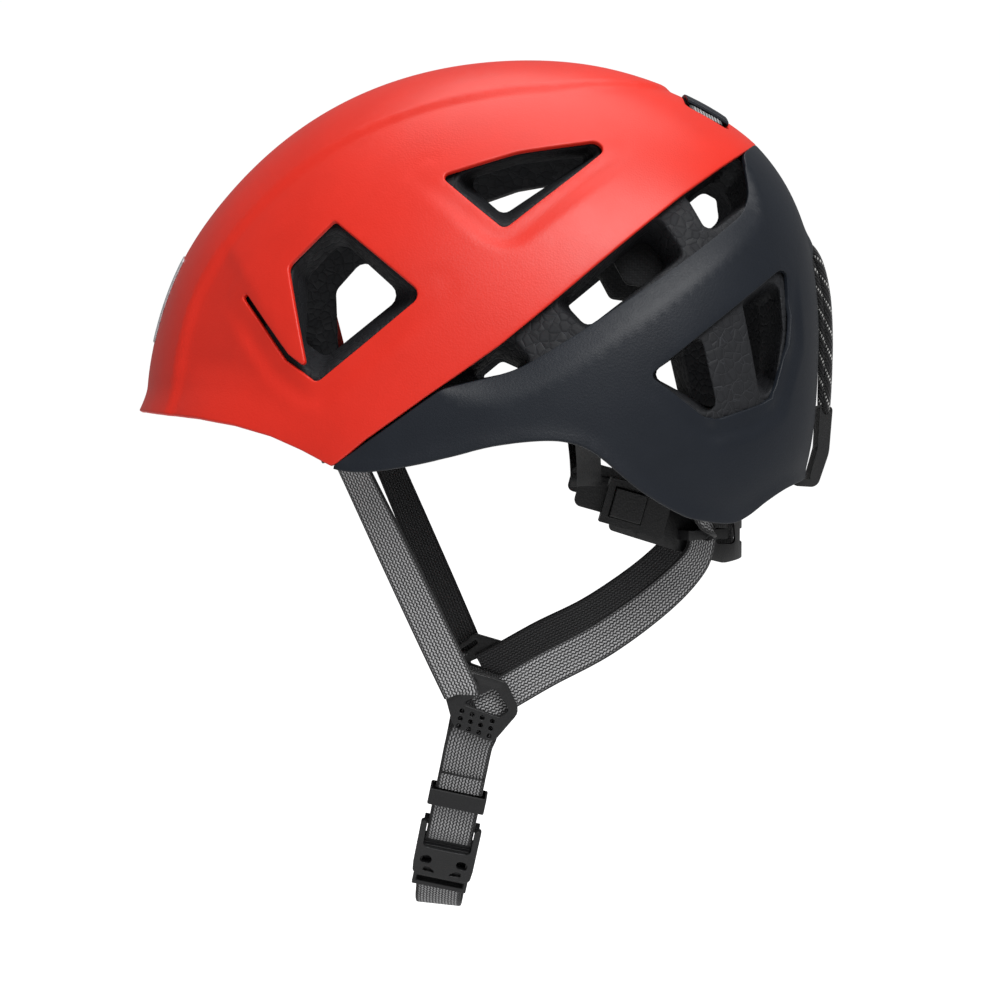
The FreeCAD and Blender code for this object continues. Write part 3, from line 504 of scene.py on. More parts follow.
# Crease from the panel's edge down to the lamp clip, which turns the brow forward.
FACET_LINE = [(113.0, 97.5), (104.0, 84.5), (96.5, 73.0), (89.0, 61.0), (79.0, 46.0), (74.5, 35.0), (71.0, 20.0)]
facet_side = smooth_line(FACET_LINE, 8)
facet_line = to_plan(facet_side)
brim_line = rim_line(CROWN_EDGE, 0.0, 3.0)[:70]


def signed_side(points, line):
    """Positive for points on the left of a polyline, by its nearest run."""
    best = np.full(len(points), 1e9)
    side = np.zeros(len(points))
    for a, b in zip(line[:-1], line[1:]):
        run = b - a
        t = np.clip((points - a) @ run / max(float(run @ run), 1e-12), 0, 1)
        gap = points - a - t[:, None] * run
        distance = np.linalg.norm(gap, axis=1)
        nearer = distance < best
        cross = run[0] * gap[:, 1] - run[1] * gap[:, 0]
        side[nearer] = np.sign(cross)[nearer]
        best = np.minimum(best, distance)
    return side * best


def dish(plan, path, guard, width, depth, inset=0.0):
    """How far the skin sinks beside an opening's edge. guard is an outline whose inside stays as it is."""
    line = to_plan(resample(np.array(path, float), 3.0), inset)
    from_ends = np.minimum(np.linalg.norm(plan - line[0], axis=1), np.linalg.norm(plan - line[-1], axis=1))
    sink = depth * (1 - smoothstep(width * 0.45, width, line_distance(plan, line))) * smoothstep(1, 22, from_ends)
    sink[inside_polygon(plan, to_plan(resample(np.array(guard, float), 3.0), inset))] = 0
    return sink


def crown_relief(plan, space):
    """Signed height of the crown's moulded details over the plain form."""
    side = space[:, [0, 2]]
    _, angle = polar(plan)
    degrees = np.degrees(angle)
    edge = np.interp(degrees, PANEL_ANGLE, PANEL_WIDTH)
    outside = space[:, 1] - edge
    outside[degrees > 112.2] = 10
    reach = line_distance(plan, panel_line)
    height = np.where(outside > 0, -1.5 * smoothstep(0, 4.5, reach) * (1 - smoothstep(20, 70, reach)), 0.0)
    # Brow facet, between the panel's edge and the crease to the lamp clip.
    from_crease = signed_side(plan, facet_line)
    brow = (outside > 0) & (from_crease > 0) & (degrees < 70)
    share = reach / np.maximum(reach + np.abs(from_crease), 1e-6)
    hollow = 4 * share * (1 - share) * 3.4 * np.clip((reach + np.abs(from_crease)) / 40, 0, 1)
    above_edge = side[:, 1] - np.interp(side[:, 0], [60, 104, 160], [6, 22, 27])
    height -= np.where(brow, hollow * smoothstep(4, 26, above_edge), 0)
    # Brim, turned out along its lower edge.
    to_brim = line_distance(plan, brim_line)
    height += 3.4 * np.clip(1 - to_brim / 9.0, 0, 1) ** 1.6 * smoothstep(70, 120, side[:, 0])
    # Dished borders of the openings.
    height -= dish(plan, [(107.5, 77.5), (104.6, 73.1), (93.9, 58.7), (85.7, 48.7), (71.5, 39.2), (46.0, 60.0),
                          (27.0, 75.5)],
                   [(104.6, 74.5), (84.5, 48.9), (71.5, 40.0), (28.5, 74.3), (66, 112), (108, 92)], 8.0, 1.5)
    height -= dish(plan, [(27.0, 125.0), (-2.6, 100.0), (-43.3, 133.2), (-44.0, 139.0)],
                   [(24.0, 122.8), (-2.6, 100.9), (-42.6, 133.6), (-42.0, 150.0), (24.0, 150.0)], 8.0, 1.4)
    return height


rim = rim_line(CROWN_EDGE, 0.0, CROWN_STEP)
window = half_outline(STRAP_WINDOW, 1.8)
front_mid = mid_line(rim[0], window[0], CROWN_STEP)
rear_mid = mid_line(window[-1], rim[-1], CROWN_STEP)
crown_outline = np.vstack([rim, rear_mid[::-1], window[::-1], front_mid[::-1]])
front_hole = to_plan(rounded(FRONT_VENT, 1.6)[0])
middle_hole = to_plan(rounded(MIDDLE_VENT, 1.6)[0])
plan, tris, index = triangulate(crown_outline, [front_hole, middle_hole], CROWN_STEP, creases=[panel_line[2:-1]])
space = on_form(plan)
normals = vertex_normals(space, tris)
surface = space + normals * crown_relief(plan, space)[:, None]
surface[space[:, 1] == 0, 1] = 0
outline_index = index[0]
rim_index = outline_index[:len(rim)]
window_start = len(rim) + len(rear_mid)
window_index = outline_index[window_start:window_start + len(window)]
crown = shell("crown_shell_skin", tris, [rim_index, window_index, index[1], index[2]],
              [False, False, True, True], surface, 2.4, 0.8)


# ---------------------------------------------------------------- front reflective panel

PANEL_HALF = 31.0
panel_low, panel_high = (math.degrees(math.atan2(z / MM - EAR_AXIS[1], x / MM - EAR_AXIS[0])) for x, z in (
    (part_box("front_reflector")[1][0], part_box("front_reflector")[0][2]),
    (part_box("front_reflector")[0][0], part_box("front_reflector")[1][2])))
rows, columns = 24, 20
grid = plan_at_width(np.repeat(np.linspace(panel_low, panel_high, rows), columns),
                     np.tile(np.linspace(0, PANEL_HALF, columns), rows))
space = on_form(grid)
quads = [(r * columns + c, r * columns + c + 1, (r + 1) * columns + c + 1, (r + 1) * columns + c)
         for r in range(rows - 1) for c in range(columns - 1)]
panel_tris = np.array([t for q in quads for t in (q[:3], (q[0], q[2], q[3]))])
panel_normals = vertex_normals(space, panel_tris)
space += panel_normals * (crown_relief(grid, space) + 0.35)[:, None]
panel = mirrored_mesh("front_panel", space, quads)
film = panel.modifiers.new("film", "SOLIDIFY")
film.thickness = 0.6 * MM
film.offset = 0.0


# ---------------------------------------------------------------- lower shell

LOWER_STEP = 0.8
LOWER_EDGE = [
    (-165.0, -1.5), (-145.0, -1.5), (-134.0, -2.0), (-127.3, -2.6), (-118.0, -5.0), (-108.8, -9.6), (-100.5, -15.0),
    (-93.1, -17.4), (-80.2, -15.6), (-71.9, -12.7), (-55.7, -2.9), (-39.9, 10.3), (-30.2, 15.2), (-18.6, 16.6),
    (0.8, 14.6), (18.2, 10.3), (33.7, 6.8), (48.6, 4.5), (57.2, 4.3), (63.0, 5.0), (64.4, 5.9),
]
UPPER_EDGE = [
    (63.2, 6.9), (51.0, 15.8), (37.2, 25.6), (26.2, 33.4), (20.5, 36.9), (14.4, 38.8), (-1.1, 42.7), (-8.9, 45.5),
    (-16.7, 49.9), (-32.3, 59.5), (-48.1, 70.0), (-64.3, 80.9), (-80.9, 93.0), (-94.0, 103.2), (-101.0, 109.6),
    (-103.8, 117.0), (-102.6, 128.0), (-102.4, 134.0), (-104.8, 137.0), (-110.0, 141.0), (-118.0, 142.0),
    (-165.0, 142.0),
]
REAR_VENT = [(-59.6, 41.8, 2), (-118.5, 87.5, 3), (-121.5, 60.0, 60), (-112.5, 31.5, 12), (-85.0, 23.4, 10)]
CHAMFER_WIDTH = 6.3

lower_side = np.vstack([smooth_line(LOWER_EDGE, 6), smooth_line(UPPER_EDGE, 6)])
rim = rim_line(lower_side, LOWER_STEP, 1.9)
rear_mid = mid_line(rim[-1], rim[0], 1.9)
vent = to_plan(rounded(REAR_VENT, 1.7)[0], LOWER_STEP)
upper_side = smooth_line(UPPER_EDGE[4:17], 8)
upper_plan = to_plan(upper_side, LOWER_STEP)
chamfer_share = np.interp(np.linspace(0, 1, len(upper_plan)), [0, 0.14, 0.86, 1], [0.15, 1, 1, 0.3])
run = np.gradient(upper_plan, axis=0)
across = np.stack([-run[:, 1], run[:, 0]], 1) / np.linalg.norm(run, axis=1)[:, None]
chamfer_line = resample(upper_plan + across * (CHAMFER_WIDTH * chamfer_share)[:, None], 1.9)[2:-2]
plan, tris, index = triangulate(np.vstack([rim, rear_mid]), [vent], 1.9, creases=[chamfer_line])


def lower_relief(plan, space):
    """Signed height of the lower shell's moulded details over the plain form."""
    to_upper = line_distance(plan, upper_plan)
    nearest = np.argmin(np.linalg.norm(plan[:, None] - upper_plan[None], axis=2), axis=1)
    width = CHAMFER_WIDTH * chamfer_share[nearest]
    height = -3.0 * np.clip(1 - to_upper / width, 0, 1) * np.minimum(1, width / CHAMFER_WIDTH)
    height -= dish(plan, [(-62.0, 40.0), (-85.0, 22.4), (-100.0, 25.5), (-113.6, 31.0), (-122.4, 58.0),
                          (-119.8, 90.0)],
                   [(-59.6, 42.2), (-118.5, 88.0), (-121.2, 60.0), (-112.2, 31.9), (-85.0, 24.0)], 6.0, 1.5,
                   LOWER_STEP)
    lip = np.exp(-((space[:, 2] - 98) / 5.0) ** 2) * (1 - smoothstep(14, 26, space[:, 1])) * (space[:, 0] < -110)
    return height + 1.6 * lip


space = on_form(plan, LOWER_STEP)
normals = vertex_normals(space, tris)
height = lower_relief(plan, space)
height += 0.9 * np.clip(1 - line_distance(plan, rim[:len(rim) // 2]) / 5.0, 0, 1) ** 2
surface = space + normals * height[:, None]
surface[space[:, 1] == 0, 1] = 0
lower = shell("lower_shell_skin", tris, [index[0][:len(rim)], index[1]], [False, True], surface, 2.2, 0.7)


# ---------------------------------------------------------------- foam liner

LINER_OUTER = 3.4
LINER_INNER = 24.4
LINER_EDGE = [
    (175.0, 32.5), (150.0, 31.5), (120.0, 28.8), (100.0, 25.2), (88.0, 21.5), (76.0, 15.0), (66.0, 11.0),
    (56.0, 9.4), (45.0, 9.2), (24.0, 13.0), (4.0, 17.3), (-14.0, 19.8), (-28.0, 20.0), (-40.0, 13.5), (-50.0, 5.0),
    (-60.0, -2.5), (-76.0, -9.5), (-94.0, -13.6), (-110.0, -7.0), (-126.0, 0.6), (-145.0, 2.0), (-175.0, 2.0),
]
# Each opening's corners at the liner's outer face, and the same corners at its inner face.
FOAM_OPENINGS = [
    ([(66.0, 103.0, 5), (30.5, 73.8, 5), (71.5, 41.0, 4), (83.5, 50.5, 4), (83.0, 85.5, 5)],
     [(64.5, 97.0, 6), (39.0, 74.0, 5), (69.5, 49.5, 4), (78.0, 55.0, 4), (78.0, 82.0, 6)]),
    ([(20.5, 121.5, 4), (-8.0, 131.0, 20), (-39.0, 136.0, 4), (-41.0, 132.5, 4), (-2.6, 101.5, 4)],
     [(14.0, 122.0, 4), (-8.0, 129.0, 20), (-34.5, 132.5, 4), (-35.0, 130.5, 3), (-2.0, 107.5, 4)]),
    ([(-21.5, 70.5, 4), (-63.5, 107.0, 4), (-75.0, 90.0, 4), (-35.0, 59.5, 4)],
     [(-27.0, 71.0, 4), (-59.5, 97.5, 4), (-68.5, 86.0, 4), (-36.0, 61.0, 4)]),
    ([(-74.5, 117.0, 4), (-99.5, 136.0, 4), (-103.5, 128.0, 6), (-103.0, 112.5, 6), (-84.5, 98.5, 4)],
     [(-78.4, 114.5, 4), (-91.5, 124.5, 3), (-97.0, 121.0, 3), (-99.5, 112.5, 4), (-87.0, 101.0, 4)]),
    ([(25.0, 37.5, 2), (-3.5, 59.5, 5), (-15.0, 46.5, 4), (-6.0, 42.5, 10), (12.0, 37.8, 4)],
     [(10.5, 40.0, 2), (0.0, 48.6, 3), (-8.5, 45.0, 2), (-6.0, 43.3, 2), (3.0, 41.5, 2)]),
    ([(-58.5, 42.0, 3), (-79.8, 60.0, 4), (-88.5, 22.5, 4)],
     [(-61.0, 42.0, 3), (-86.0, 58.5, 4), (-92.0, 26.0, 4)]),
    ([(-98.0, 72.0, 4), (-115.0, 83.0, 4), (-117.0, 60.0, 20), (-113.0, 38.0, 5), (-106.5, 31.0, 4)],
     [(-101.0, 69.5, 4), (-109.0, 74.0, 4), (-110.0, 60.0, 20), (-109.5, 44.0, 4), (-106.0, 38.0, 4)]),
]


def liner_skin(inset, outlines, counts=None, rim_count=None):
    """One face of the liner: its points, triangles, outlines, and what the other face has to match."""
    rim = rim_line(smooth_line(LINER_EDGE, 6), inset, 2.6, rim_count)
    over = mid_line(rim[0], rim[-1], 2.6)
    holes, used = [], []
    for k, corners in enumerate(outlines):
        line, count = rounded(corners, 2.2, counts[k] if counts else None)
        holes.append(to_plan(line, inset))
        used.append(count)
    plan, tris, index = triangulate(np.vstack([rim, over[::-1]]), holes, 2.6)
    return plan, tris, [index[0][:len(rim)]] + index[1:], used, len(rim)


crown_low = to_plan(resample(np.array(CROWN_EDGE[9:], float), 3.0))


def above_slot(plan):
    """1 under the crown shell, falling to 0 a little below its rear edge."""
    return 1 - smoothstep(2, 8, np.maximum(-signed_side(plan, crown_low), 0) * (plan[:, 0] < 66))


def below_slot(plan):
    """1 under the lower shell and in the slot above it."""
    return np.where(plan[:, 0] < 66, smoothstep(-4, 2, -signed_side(plan, crown_low)), 0)


def plan_mid(plan):
    """Which plan points lie on the mid-plane."""
    reach, angle = polar(plan)
    return reach / profile_radius(angle) > 0.9997


plan_out, tris_out, loops_out, counts, rim_count = liner_skin(LINER_OUTER, [pair[0] for pair in FOAM_OPENINGS])
plan_in, tris_in, loops_in, _, _ = liner_skin(LINER_INNER, [pair[1] for pair in FOAM_OPENINGS], counts, rim_count)
outer = on_form(plan_out, LINER_OUTER)
inner = on_form(plan_in, LINER_INNER)
# The foam follows the shells' relief, and lies deeper in the slot between them. The crown puck has a pocket.
normals = vertex_normals(outer, tris_out)
sink = (0.3 + 1.3 * np.maximum(-crown_relief(plan_out, on_form(plan_out)), 0)) * above_slot(plan_out)
sink = np.maximum(sink, (np.maximum(-lower_relief(plan_out, outer), 0) + 2.0) * below_slot(plan_out))
pocket = (
    smoothstep(0, 2.5, 57.0 - np.abs(outer[:, 0] + 3)) * smoothstep(0, 2.5, 44.0 - outer[:, 1]) * (outer[:, 2] > 100))
outer -= normals * (sink + 9.5 * pocket)[:, None]
outer[plan_mid(plan_out), 1] = 0
# Shallow air channels that run front to back on the inner face.
channel = sum(np.exp(-((inner[:, 1] - y) / 4.0) ** 2) for y in (0.0, 30.0))
channel = channel * smoothstep(105, 118, inner[:, 2]) * (1 - smoothstep(70, 95, np.abs(inner[:, 0])))
inner += vertex_normals(inner, tris_in) * (2.2 * channel)[:, None]
inner[plan_mid(plan_in), 1] = 0
liner = mirrored_mesh("foam_liner_beads", *closed_wall(
    outer, tris_out, loops_out, inner, tris_in, loops_in, 1.6, [False] + [True] * len(FOAM_OPENINGS), ring_gap=3.0))


# ---------------------------------------------------------------- materials

def node(tree, kind, inputs=None, **settings):
    """A shader node with its settings and inputs. An input is a value or another node's output."""
    made = tree.nodes.new("ShaderNode" + kind)
    for key, value in settings.items():
        setattr(made, key, value)
    for key, value in (inputs or {}).items():
        if isinstance(value, bpy.types.NodeSocket):
            tree.links.new(value, made.inputs[key])
        else:
            made.inputs[key].default_value = value
    return made


def sums(tree, operation, a, b=0.0, c=0.0):
    """The output of a maths node."""
    inputs = {0: a, 1: b} if operation not in ("MULTIPLY_ADD",) else {0: a, 1: b, 2: c}
    return node(tree, "Math", inputs, operation=operation).outputs[0]


def start_material(name, roughness, specular=0.5, coat=0.0, coat_roughness=0.2, metallic=0.0, sheen=0.0):
    material = bpy.data.materials.new(name)
    material.use_nodes = True
    tree = material.node_tree
    shader = tree.nodes["Principled BSDF"]
    shader.inputs["Roughness"].default_value = roughness
    shader.inputs["Specular IOR Level"].default_value = specular
    shader.inputs["Coat Weight"].default_value = coat
    shader.inputs["Coat Roughness"].default_value = coat_roughness
    shader.inputs["Metallic"].default_value = metallic
    shader.inputs["Sheen Weight"].default_value = sheen
    return material, tree, shader


def place(tree):
    return node(tree, "TexCoord").outputs["Object"]


def noise(tree, at, scale, detail, roughness=0.5):
    inputs = {"Vector": at, "Scale": scale, "Detail": detail, "Roughness": roughness}
    return node(tree, "TexNoise", inputs).outputs["Fac"]


def emboss(tree, shader, height, strength, distance):
    """Gives the shader a bump from a height."""
    bump = node(tree, "Bump", {"Height": height, "Strength": strength, "Distance": distance})
    tree.links.new(bump.outputs["Normal"], shader.inputs["Normal"])


def ramp(tree, value, stops):
    """A colour ramp from (position, colour) stops."""
    made = node(tree, "ValToRGB", {"Fac": value})
    points = made.color_ramp.elements
    while len(points) < len(stops):
        points.new(0.5)
    for point, (position, colour) in zip(points, stops):
        point.position = position
        point.color = (*colour, 1.0) if len(colour) == 3 else colour
    return made.outputs["Color"]


def grey(value):
    return (value, value, value)


def moulded_plastic(name, colour, rough, grain, grain_size, mottle, specular=0.5, coat=0.0):
    """Injection-moulded plastic: fine spark grain, faint flow mottling, handling wear in its gloss."""
    material, tree, shader = start_material(name, rough, specular, coat, 0.28)
    at = place(tree)
    flow = noise(tree, at, 34.0, 5.0, 0.6)
    broad = noise(tree, at, 9.0, 3.0)
    mixed = sums(tree, "MULTIPLY_ADD", flow, 0.6, sums(tree, "MULTIPLY", broad, 0.4))
    low = tuple(c * (1 - mottle) for c in colour)
    high = tuple(min(1.0, c * (1 + mottle)) for c in colour)
    tree.links.new(ramp(tree, mixed, [(0.3, low), (0.7, high)]), shader.inputs["Base Color"])
    fine = noise(tree, at, grain_size, 3.0, 0.7)
    cells = node(tree, "TexVoronoi", {"Vector": at, "Scale": grain_size * 0.8}).outputs["Distance"]
    scuffs = noise(tree, at, 130.0, 6.0, 0.75)
    gloss = node(tree, "MapRange", {"Value": sums(tree, "ADD", mixed, sums(tree, "MULTIPLY", scuffs, 0.6)),
                                    "From Min": 0.45, "From Max": 1.15, "To Min": rough - 0.05,
                                    "To Max": rough + 0.07}).outputs["Result"]
    tree.links.new(gloss, shader.inputs["Roughness"])
    height = sums(tree, "MULTIPLY_ADD", fine, 0.6, sums(tree, "MULTIPLY", cells, 0.5))
    emboss(tree, shader, height, grain, 0.0003)
    return material


def bead_foam(name, colour, cell, depth=0.0009, line=0.45):
    """Fused foam beads: rounded dark cells, a painted highlight as thin paler seams between them, a darker band just
    inside each seam, and a skin that varies in gloss.
    """
    material, tree, shader = start_material(name, 0.68, 0.3)
    at = place(tree)
    bend = node(tree, "TexNoise", {"Vector": at, "Scale": 60.0, "Detail": 2.0}).outputs["Color"]
    warped = node(tree, "VectorMath", {0: at, 1: node(tree, "VectorMath", {0: bend, "Scale": 0.004},
                                                      operation="SCALE").outputs[0]}, operation="ADD").outputs[0]
    edges = node(tree, "TexVoronoi", {"Vector": warped, "Scale": 1.0 / cell, "Randomness": 0.9},
                 feature="DISTANCE_TO_EDGE").outputs["Distance"]
    beads = node(tree, "TexVoronoi", {"Vector": warped, "Scale": 1.0 / cell, "Randomness": 0.9})
    dome_and_seam_highlight = sums(tree, "POWER", sums(tree, "MINIMUM", sums(tree, "MULTIPLY", edges, 4.5), 1.0), line)
    bead_tone = node(tree, "SeparateColor", {"Color": beads.outputs["Color"]}).outputs["Red"]
    tone = sums(tree, "MULTIPLY_ADD", bead_tone, 0.3, sums(tree, "MULTIPLY", dome_and_seam_highlight, 0.7))
    # Painted highlight: the base colour is paler along each bead's seam, where light catches the bead edges. Just
    # inside the seam it is darker than the bead's middle.
    stops = [(0.05, tuple(c * 2.2 for c in colour)), (0.45, tuple(c * 0.7 for c in colour)), (1.0, colour)]
    tree.links.new(ramp(tree, tone, stops), shader.inputs["Base Color"])
    gloss = node(tree, "MapRange", {"Value": bead_tone, "To Min": 0.6, "To Max": 0.78}).outputs["Result"]
    tree.links.new(gloss, shader.inputs["Roughness"])
    pores = noise(tree, at, 1400.0, 2.0)
    height = sums(tree, "MULTIPLY_ADD", pores, 0.08, dome_and_seam_highlight)
    emboss(tree, shader, height, 0.4, depth)
    return material


def webbing_weave(name, pitch, step, dark, light, inner_light):
    """Flat woven webbing by its UV in millimetres: u across and v along. A face's tone tells its outer side."""
    material, tree, shader = start_material(name, 0.62, 0.35, sheen=0.15)
    uv = node(tree, "UVMap", uv_map="weave").outputs["UV"]
    split = node(tree, "SeparateXYZ", {"Vector": uv})
    u, v = split.outputs["X"], split.outputs["Y"]
    wobble = noise(tree, uv, 0.9, 2.0)
    drift = sums(tree, "MULTIPLY_ADD", wobble, 1.6, sums(tree, "MULTIPLY", v, 2 * math.pi / step))
    snake = sums(tree, "MULTIPLY", sums(tree, "SINE", drift), 0.2)
    column = sums(tree, "DIVIDE", sums(tree, "ADD", u, snake), pitch)
    number = sums(tree, "FLOOR", column)
    odd = sums(tree, "MODULO", sums(tree, "ABSOLUTE", number), 2.0)
    inside = sums(tree, "FRACT", column)
    off = sums(tree, "ABSOLUTE", sums(tree, "SUBTRACT", inside, 0.5))
    along = sums(tree, "MULTIPLY_ADD", odd, 0.5, sums(tree, "DIVIDE", drift, 2 * math.pi))
    beat = sums(tree, "FRACT", along)
    dash = sums(tree, "ABSOLUTE", sums(tree, "SUBTRACT", beat, 0.5))
    in_dash = node(tree, "MapRange", {"Value": dash, "From Min": 0.5, "From Max": 0.22,
                                      "To Min": 0.22}).outputs["Result"]
    in_column = node(tree, "MapRange", {"Value": off, "From Min": 0.36, "From Max": 0.18}).outputs["Result"]
    spot = sums(tree, "MULTIPLY", in_dash, in_column)
    side = node(tree, "Attribute", attribute_name="outer_side").outputs["Fac"]
    border = node(tree, "Attribute", attribute_name="body").outputs["Fac"]
    fleck = sums(tree, "MULTIPLY", spot, border)
    shade = noise(tree, uv, 3.5, 3.0, 0.7)
    glow = sums(tree, "MULTIPLY", fleck, sums(tree, "MULTIPLY_ADD", shade, 0.7, 0.55))
    back = node(tree, "Mix", {"Factor": side, "A": (*inner_light, 1.0), "B": (*light, 1.0)}, data_type="RGBA")
    colour = node(tree, "Mix", {"Factor": glow, "A": (*dark, 1.0), "B": back.outputs[2]}, data_type="RGBA")
    tree.links.new(colour.outputs[2], shader.inputs["Base Color"])
    pick = sums(tree, "FRACT", sums(tree, "DIVIDE", v, step / 2))
    picks = sums(tree, "ABSOLUTE", sums(tree, "SUBTRACT", pick, 0.5))
    ridges = sums(tree, "MULTIPLY_ADD", off, -1.2, sums(tree, "MULTIPLY_ADD", picks, -0.6, 1.0))
    fibre = noise(tree, uv, 14.0, 2.0)
    height = sums(tree, "MULTIPLY_ADD", fibre, 0.25, sums(tree, "MULTIPLY_ADD", spot, 0.35, ridges))
    emboss(tree, shader, height, 0.7, 0.0004)
    return material


def pad_fabric(name, colour, knit):
    """Brushed knit over foam: rows of small loops with fuzz and lint-like tone changes."""
    material, tree, shader = start_material(name, 0.85, 0.2, sheen=0.35)
    at = place(tree)
    loops = node(tree, "TexVoronoi", {"Vector": at, "Scale": 1.0 / knit, "Randomness": 0.35})
    fuzz = noise(tree, at, 900.0, 4.0, 0.8)
    cloud = noise(tree, at, 45.0, 3.0)
    tone = sums(tree, "MULTIPLY_ADD", loops.outputs["Distance"], -0.55,
                sums(tree, "MULTIPLY_ADD", fuzz, 0.5, sums(tree, "MULTIPLY", cloud, 0.45)))
    low = tuple(c * 0.5 for c in colour)
    high = tuple(c * 1.8 for c in colour)
    tree.links.new(ramp(tree, tone, [(0.1, low), (0.75, high)]), shader.inputs["Base Color"])
    height = sums(tree, "MULTIPLY_ADD", fuzz, 0.5, sums(tree, "MULTIPLY", loops.outputs["Distance"], -1.0))
    emboss(tree, shader, height, 0.6, 0.0005)
    return material


def braided_cord(name, dark, light, around, pitch):
    """Braided sheath by its UV: u once round, v in millimetres along, with light tracer flecks."""
    material, tree, shader = start_material(name, 0.7, 0.3, sheen=0.2)
    uv = node(tree, "UVMap", uv_map="weave").outputs["UV"]
    split = node(tree, "SeparateXYZ", {"Vector": uv})
    u = sums(tree, "MULTIPLY", split.outputs["X"], around)
    v = sums(tree, "DIVIDE", split.outputs["Y"], pitch)
    right = sums(tree, "FRACT", sums(tree, "ADD", u, v))
    left = sums(tree, "FRACT", sums(tree, "SUBTRACT", u, v))
    ridge = sums(tree, "MULTIPLY", sums(tree, "SINE", sums(tree, "MULTIPLY", right, math.pi)),
                 sums(tree, "SINE", sums(tree, "MULTIPLY", left, math.pi)))
    number = sums(tree, "MODULO", sums(tree, "FLOOR", sums(tree, "ADD", u, v)), 4.0)
    tracer = sums(tree, "MULTIPLY", sums(tree, "LESS_THAN", number, 0.5), sums(tree, "GREATER_THAN", left, 0.45))
    fleck = sums(tree, "MULTIPLY", tracer, ridge)
    colour = node(tree, "Mix", {"Factor": fleck, "A": (*dark, 1.0), "B": (*light, 1.0)}, data_type="RGBA")
    tree.links.new(colour.outputs[2], shader.inputs["Base Color"])
    emboss(tree, shader, ridge, 0.8, 0.0005)
    return material


def reflective_film(name):
    """Pale retroreflective film with a fine honeycomb."""
    material, tree, shader = start_material(name, 0.34, 0.6, metallic=0.25)
    at = place(tree)
    cells = node(tree, "TexVoronoi", {"Vector": at, "Scale": 520.0, "Randomness": 0.12},
                 feature="DISTANCE_TO_EDGE").outputs["Distance"]
    lit = node(tree, "MapRange", {"Value": cells, "From Min": 0.02, "From Max": 0.12}).outputs[0]
    shades = [(0.0, (0.42, 0.43, 0.45)), (1.0, (0.66, 0.67, 0.69))]
    tree.links.new(ramp(tree, lit, shades), shader.inputs["Base Color"])
    emboss(tree, shader, lit, 0.3, 0.0002)
    return material


crown_red = moulded_plastic("crown_red", (0.76, 0.024, 0.010), 0.40, 0.2, 1500.0, 0.07, 0.42, 0.04)
lower_slate = moulded_plastic("lower_slate", (0.0115, 0.0145, 0.0205), 0.42, 0.2, 1300.0, 0.12, 0.26)
harness_black = moulded_plastic("harness_black", (0.0085, 0.0087, 0.0095), 0.42, 0.4, 1700.0, 0.25, 0.5)
keeper_rubber = moulded_plastic("keeper_rubber", (0.014, 0.014, 0.015), 0.58, 0.5, 1200.0, 0.25, 0.4)
foam_black = bead_foam("foam_black", (0.017, 0.018, 0.021), 0.0038)
puck_grey = bead_foam("puck_grey", (0.05, 0.052, 0.055), 0.0028)
RIB_PITCH, WAVE_LENGTH = 1.36, 1.7
YARN_BLACK, INNER_GREY = (0.010, 0.010, 0.011), (0.075, 0.075, 0.078)
strap_weave = webbing_weave("strap_weave", RIB_PITCH, WAVE_LENGTH, YARN_BLACK, (0.60, 0.60, 0.61), INNER_GREY)
chin_weave = webbing_weave("chin_weave", RIB_PITCH, WAVE_LENGTH, YARN_BLACK, (0.50, 0.50, 0.51), INNER_GREY)
pad_black = pad_fabric("pad_black", (0.014, 0.0145, 0.016), 0.0011)
cord_black = braided_cord("cord_black", (0.010, 0.010, 0.011), (0.7, 0.7, 0.68), 8.0, 2.6)
reflective = reflective_film("reflective_film")


def dress(piece, material):
    piece.data.materials.clear()
    piece.data.materials.append(material)


# ---------------------------------------------------------------- webbing

def unit(v):
    v = np.asarray(v, float)
    return v / np.linalg.norm(v)


def strap_path(route, step=2.0):
    """Even points, tangents and outward directions of a strap from (point, outward) pairs."""
    marks = np.hstack([np.array([p for p, _ in route], float), np.array([unit(f) for _, f in route])])
    line = smooth_line(marks, 10)
    travel = np.append(0, np.cumsum(np.linalg.norm(np.diff(line[:, :3], axis=0), axis=1)))
    count = max(4, int(round(travel[-1] / step)) + 1)
    at = np.linspace(0, travel[-1], count)
    line = np.stack([np.interp(at, travel, line[:, k]) for k in range(6)], 1)
    points, faces = line[:, :3], line[:, 3:]
    tangents = np.gradient(points, axis=0)
    tangents /= np.linalg.norm(tangents, axis=1)[:, None]
    faces = faces - np.sum(faces * tangents, 1)[:, None] * tangents
    faces /= np.linalg.norm(faces, axis=1)[:, None]
    return points, tangents, faces, at


# Cross-section of webbing: share of half width, share of half thickness, and how much of it is woven body.
WEB_SECTION = [
    (-1.0, 0.0, 0.0), (-0.985, 0.62, 0.0), (-0.93, 0.95, 0.0), (-0.80, 1.0, 1.0), (-0.4, 1.0, 1.0), (0.0, 1.0, 1.0),
    (0.4, 1.0, 1.0), (0.80, 1.0, 1.0), (0.93, 0.95, 0.0), (0.985, 0.62, 0.0), (1.0, 0.0, 0.0),
]


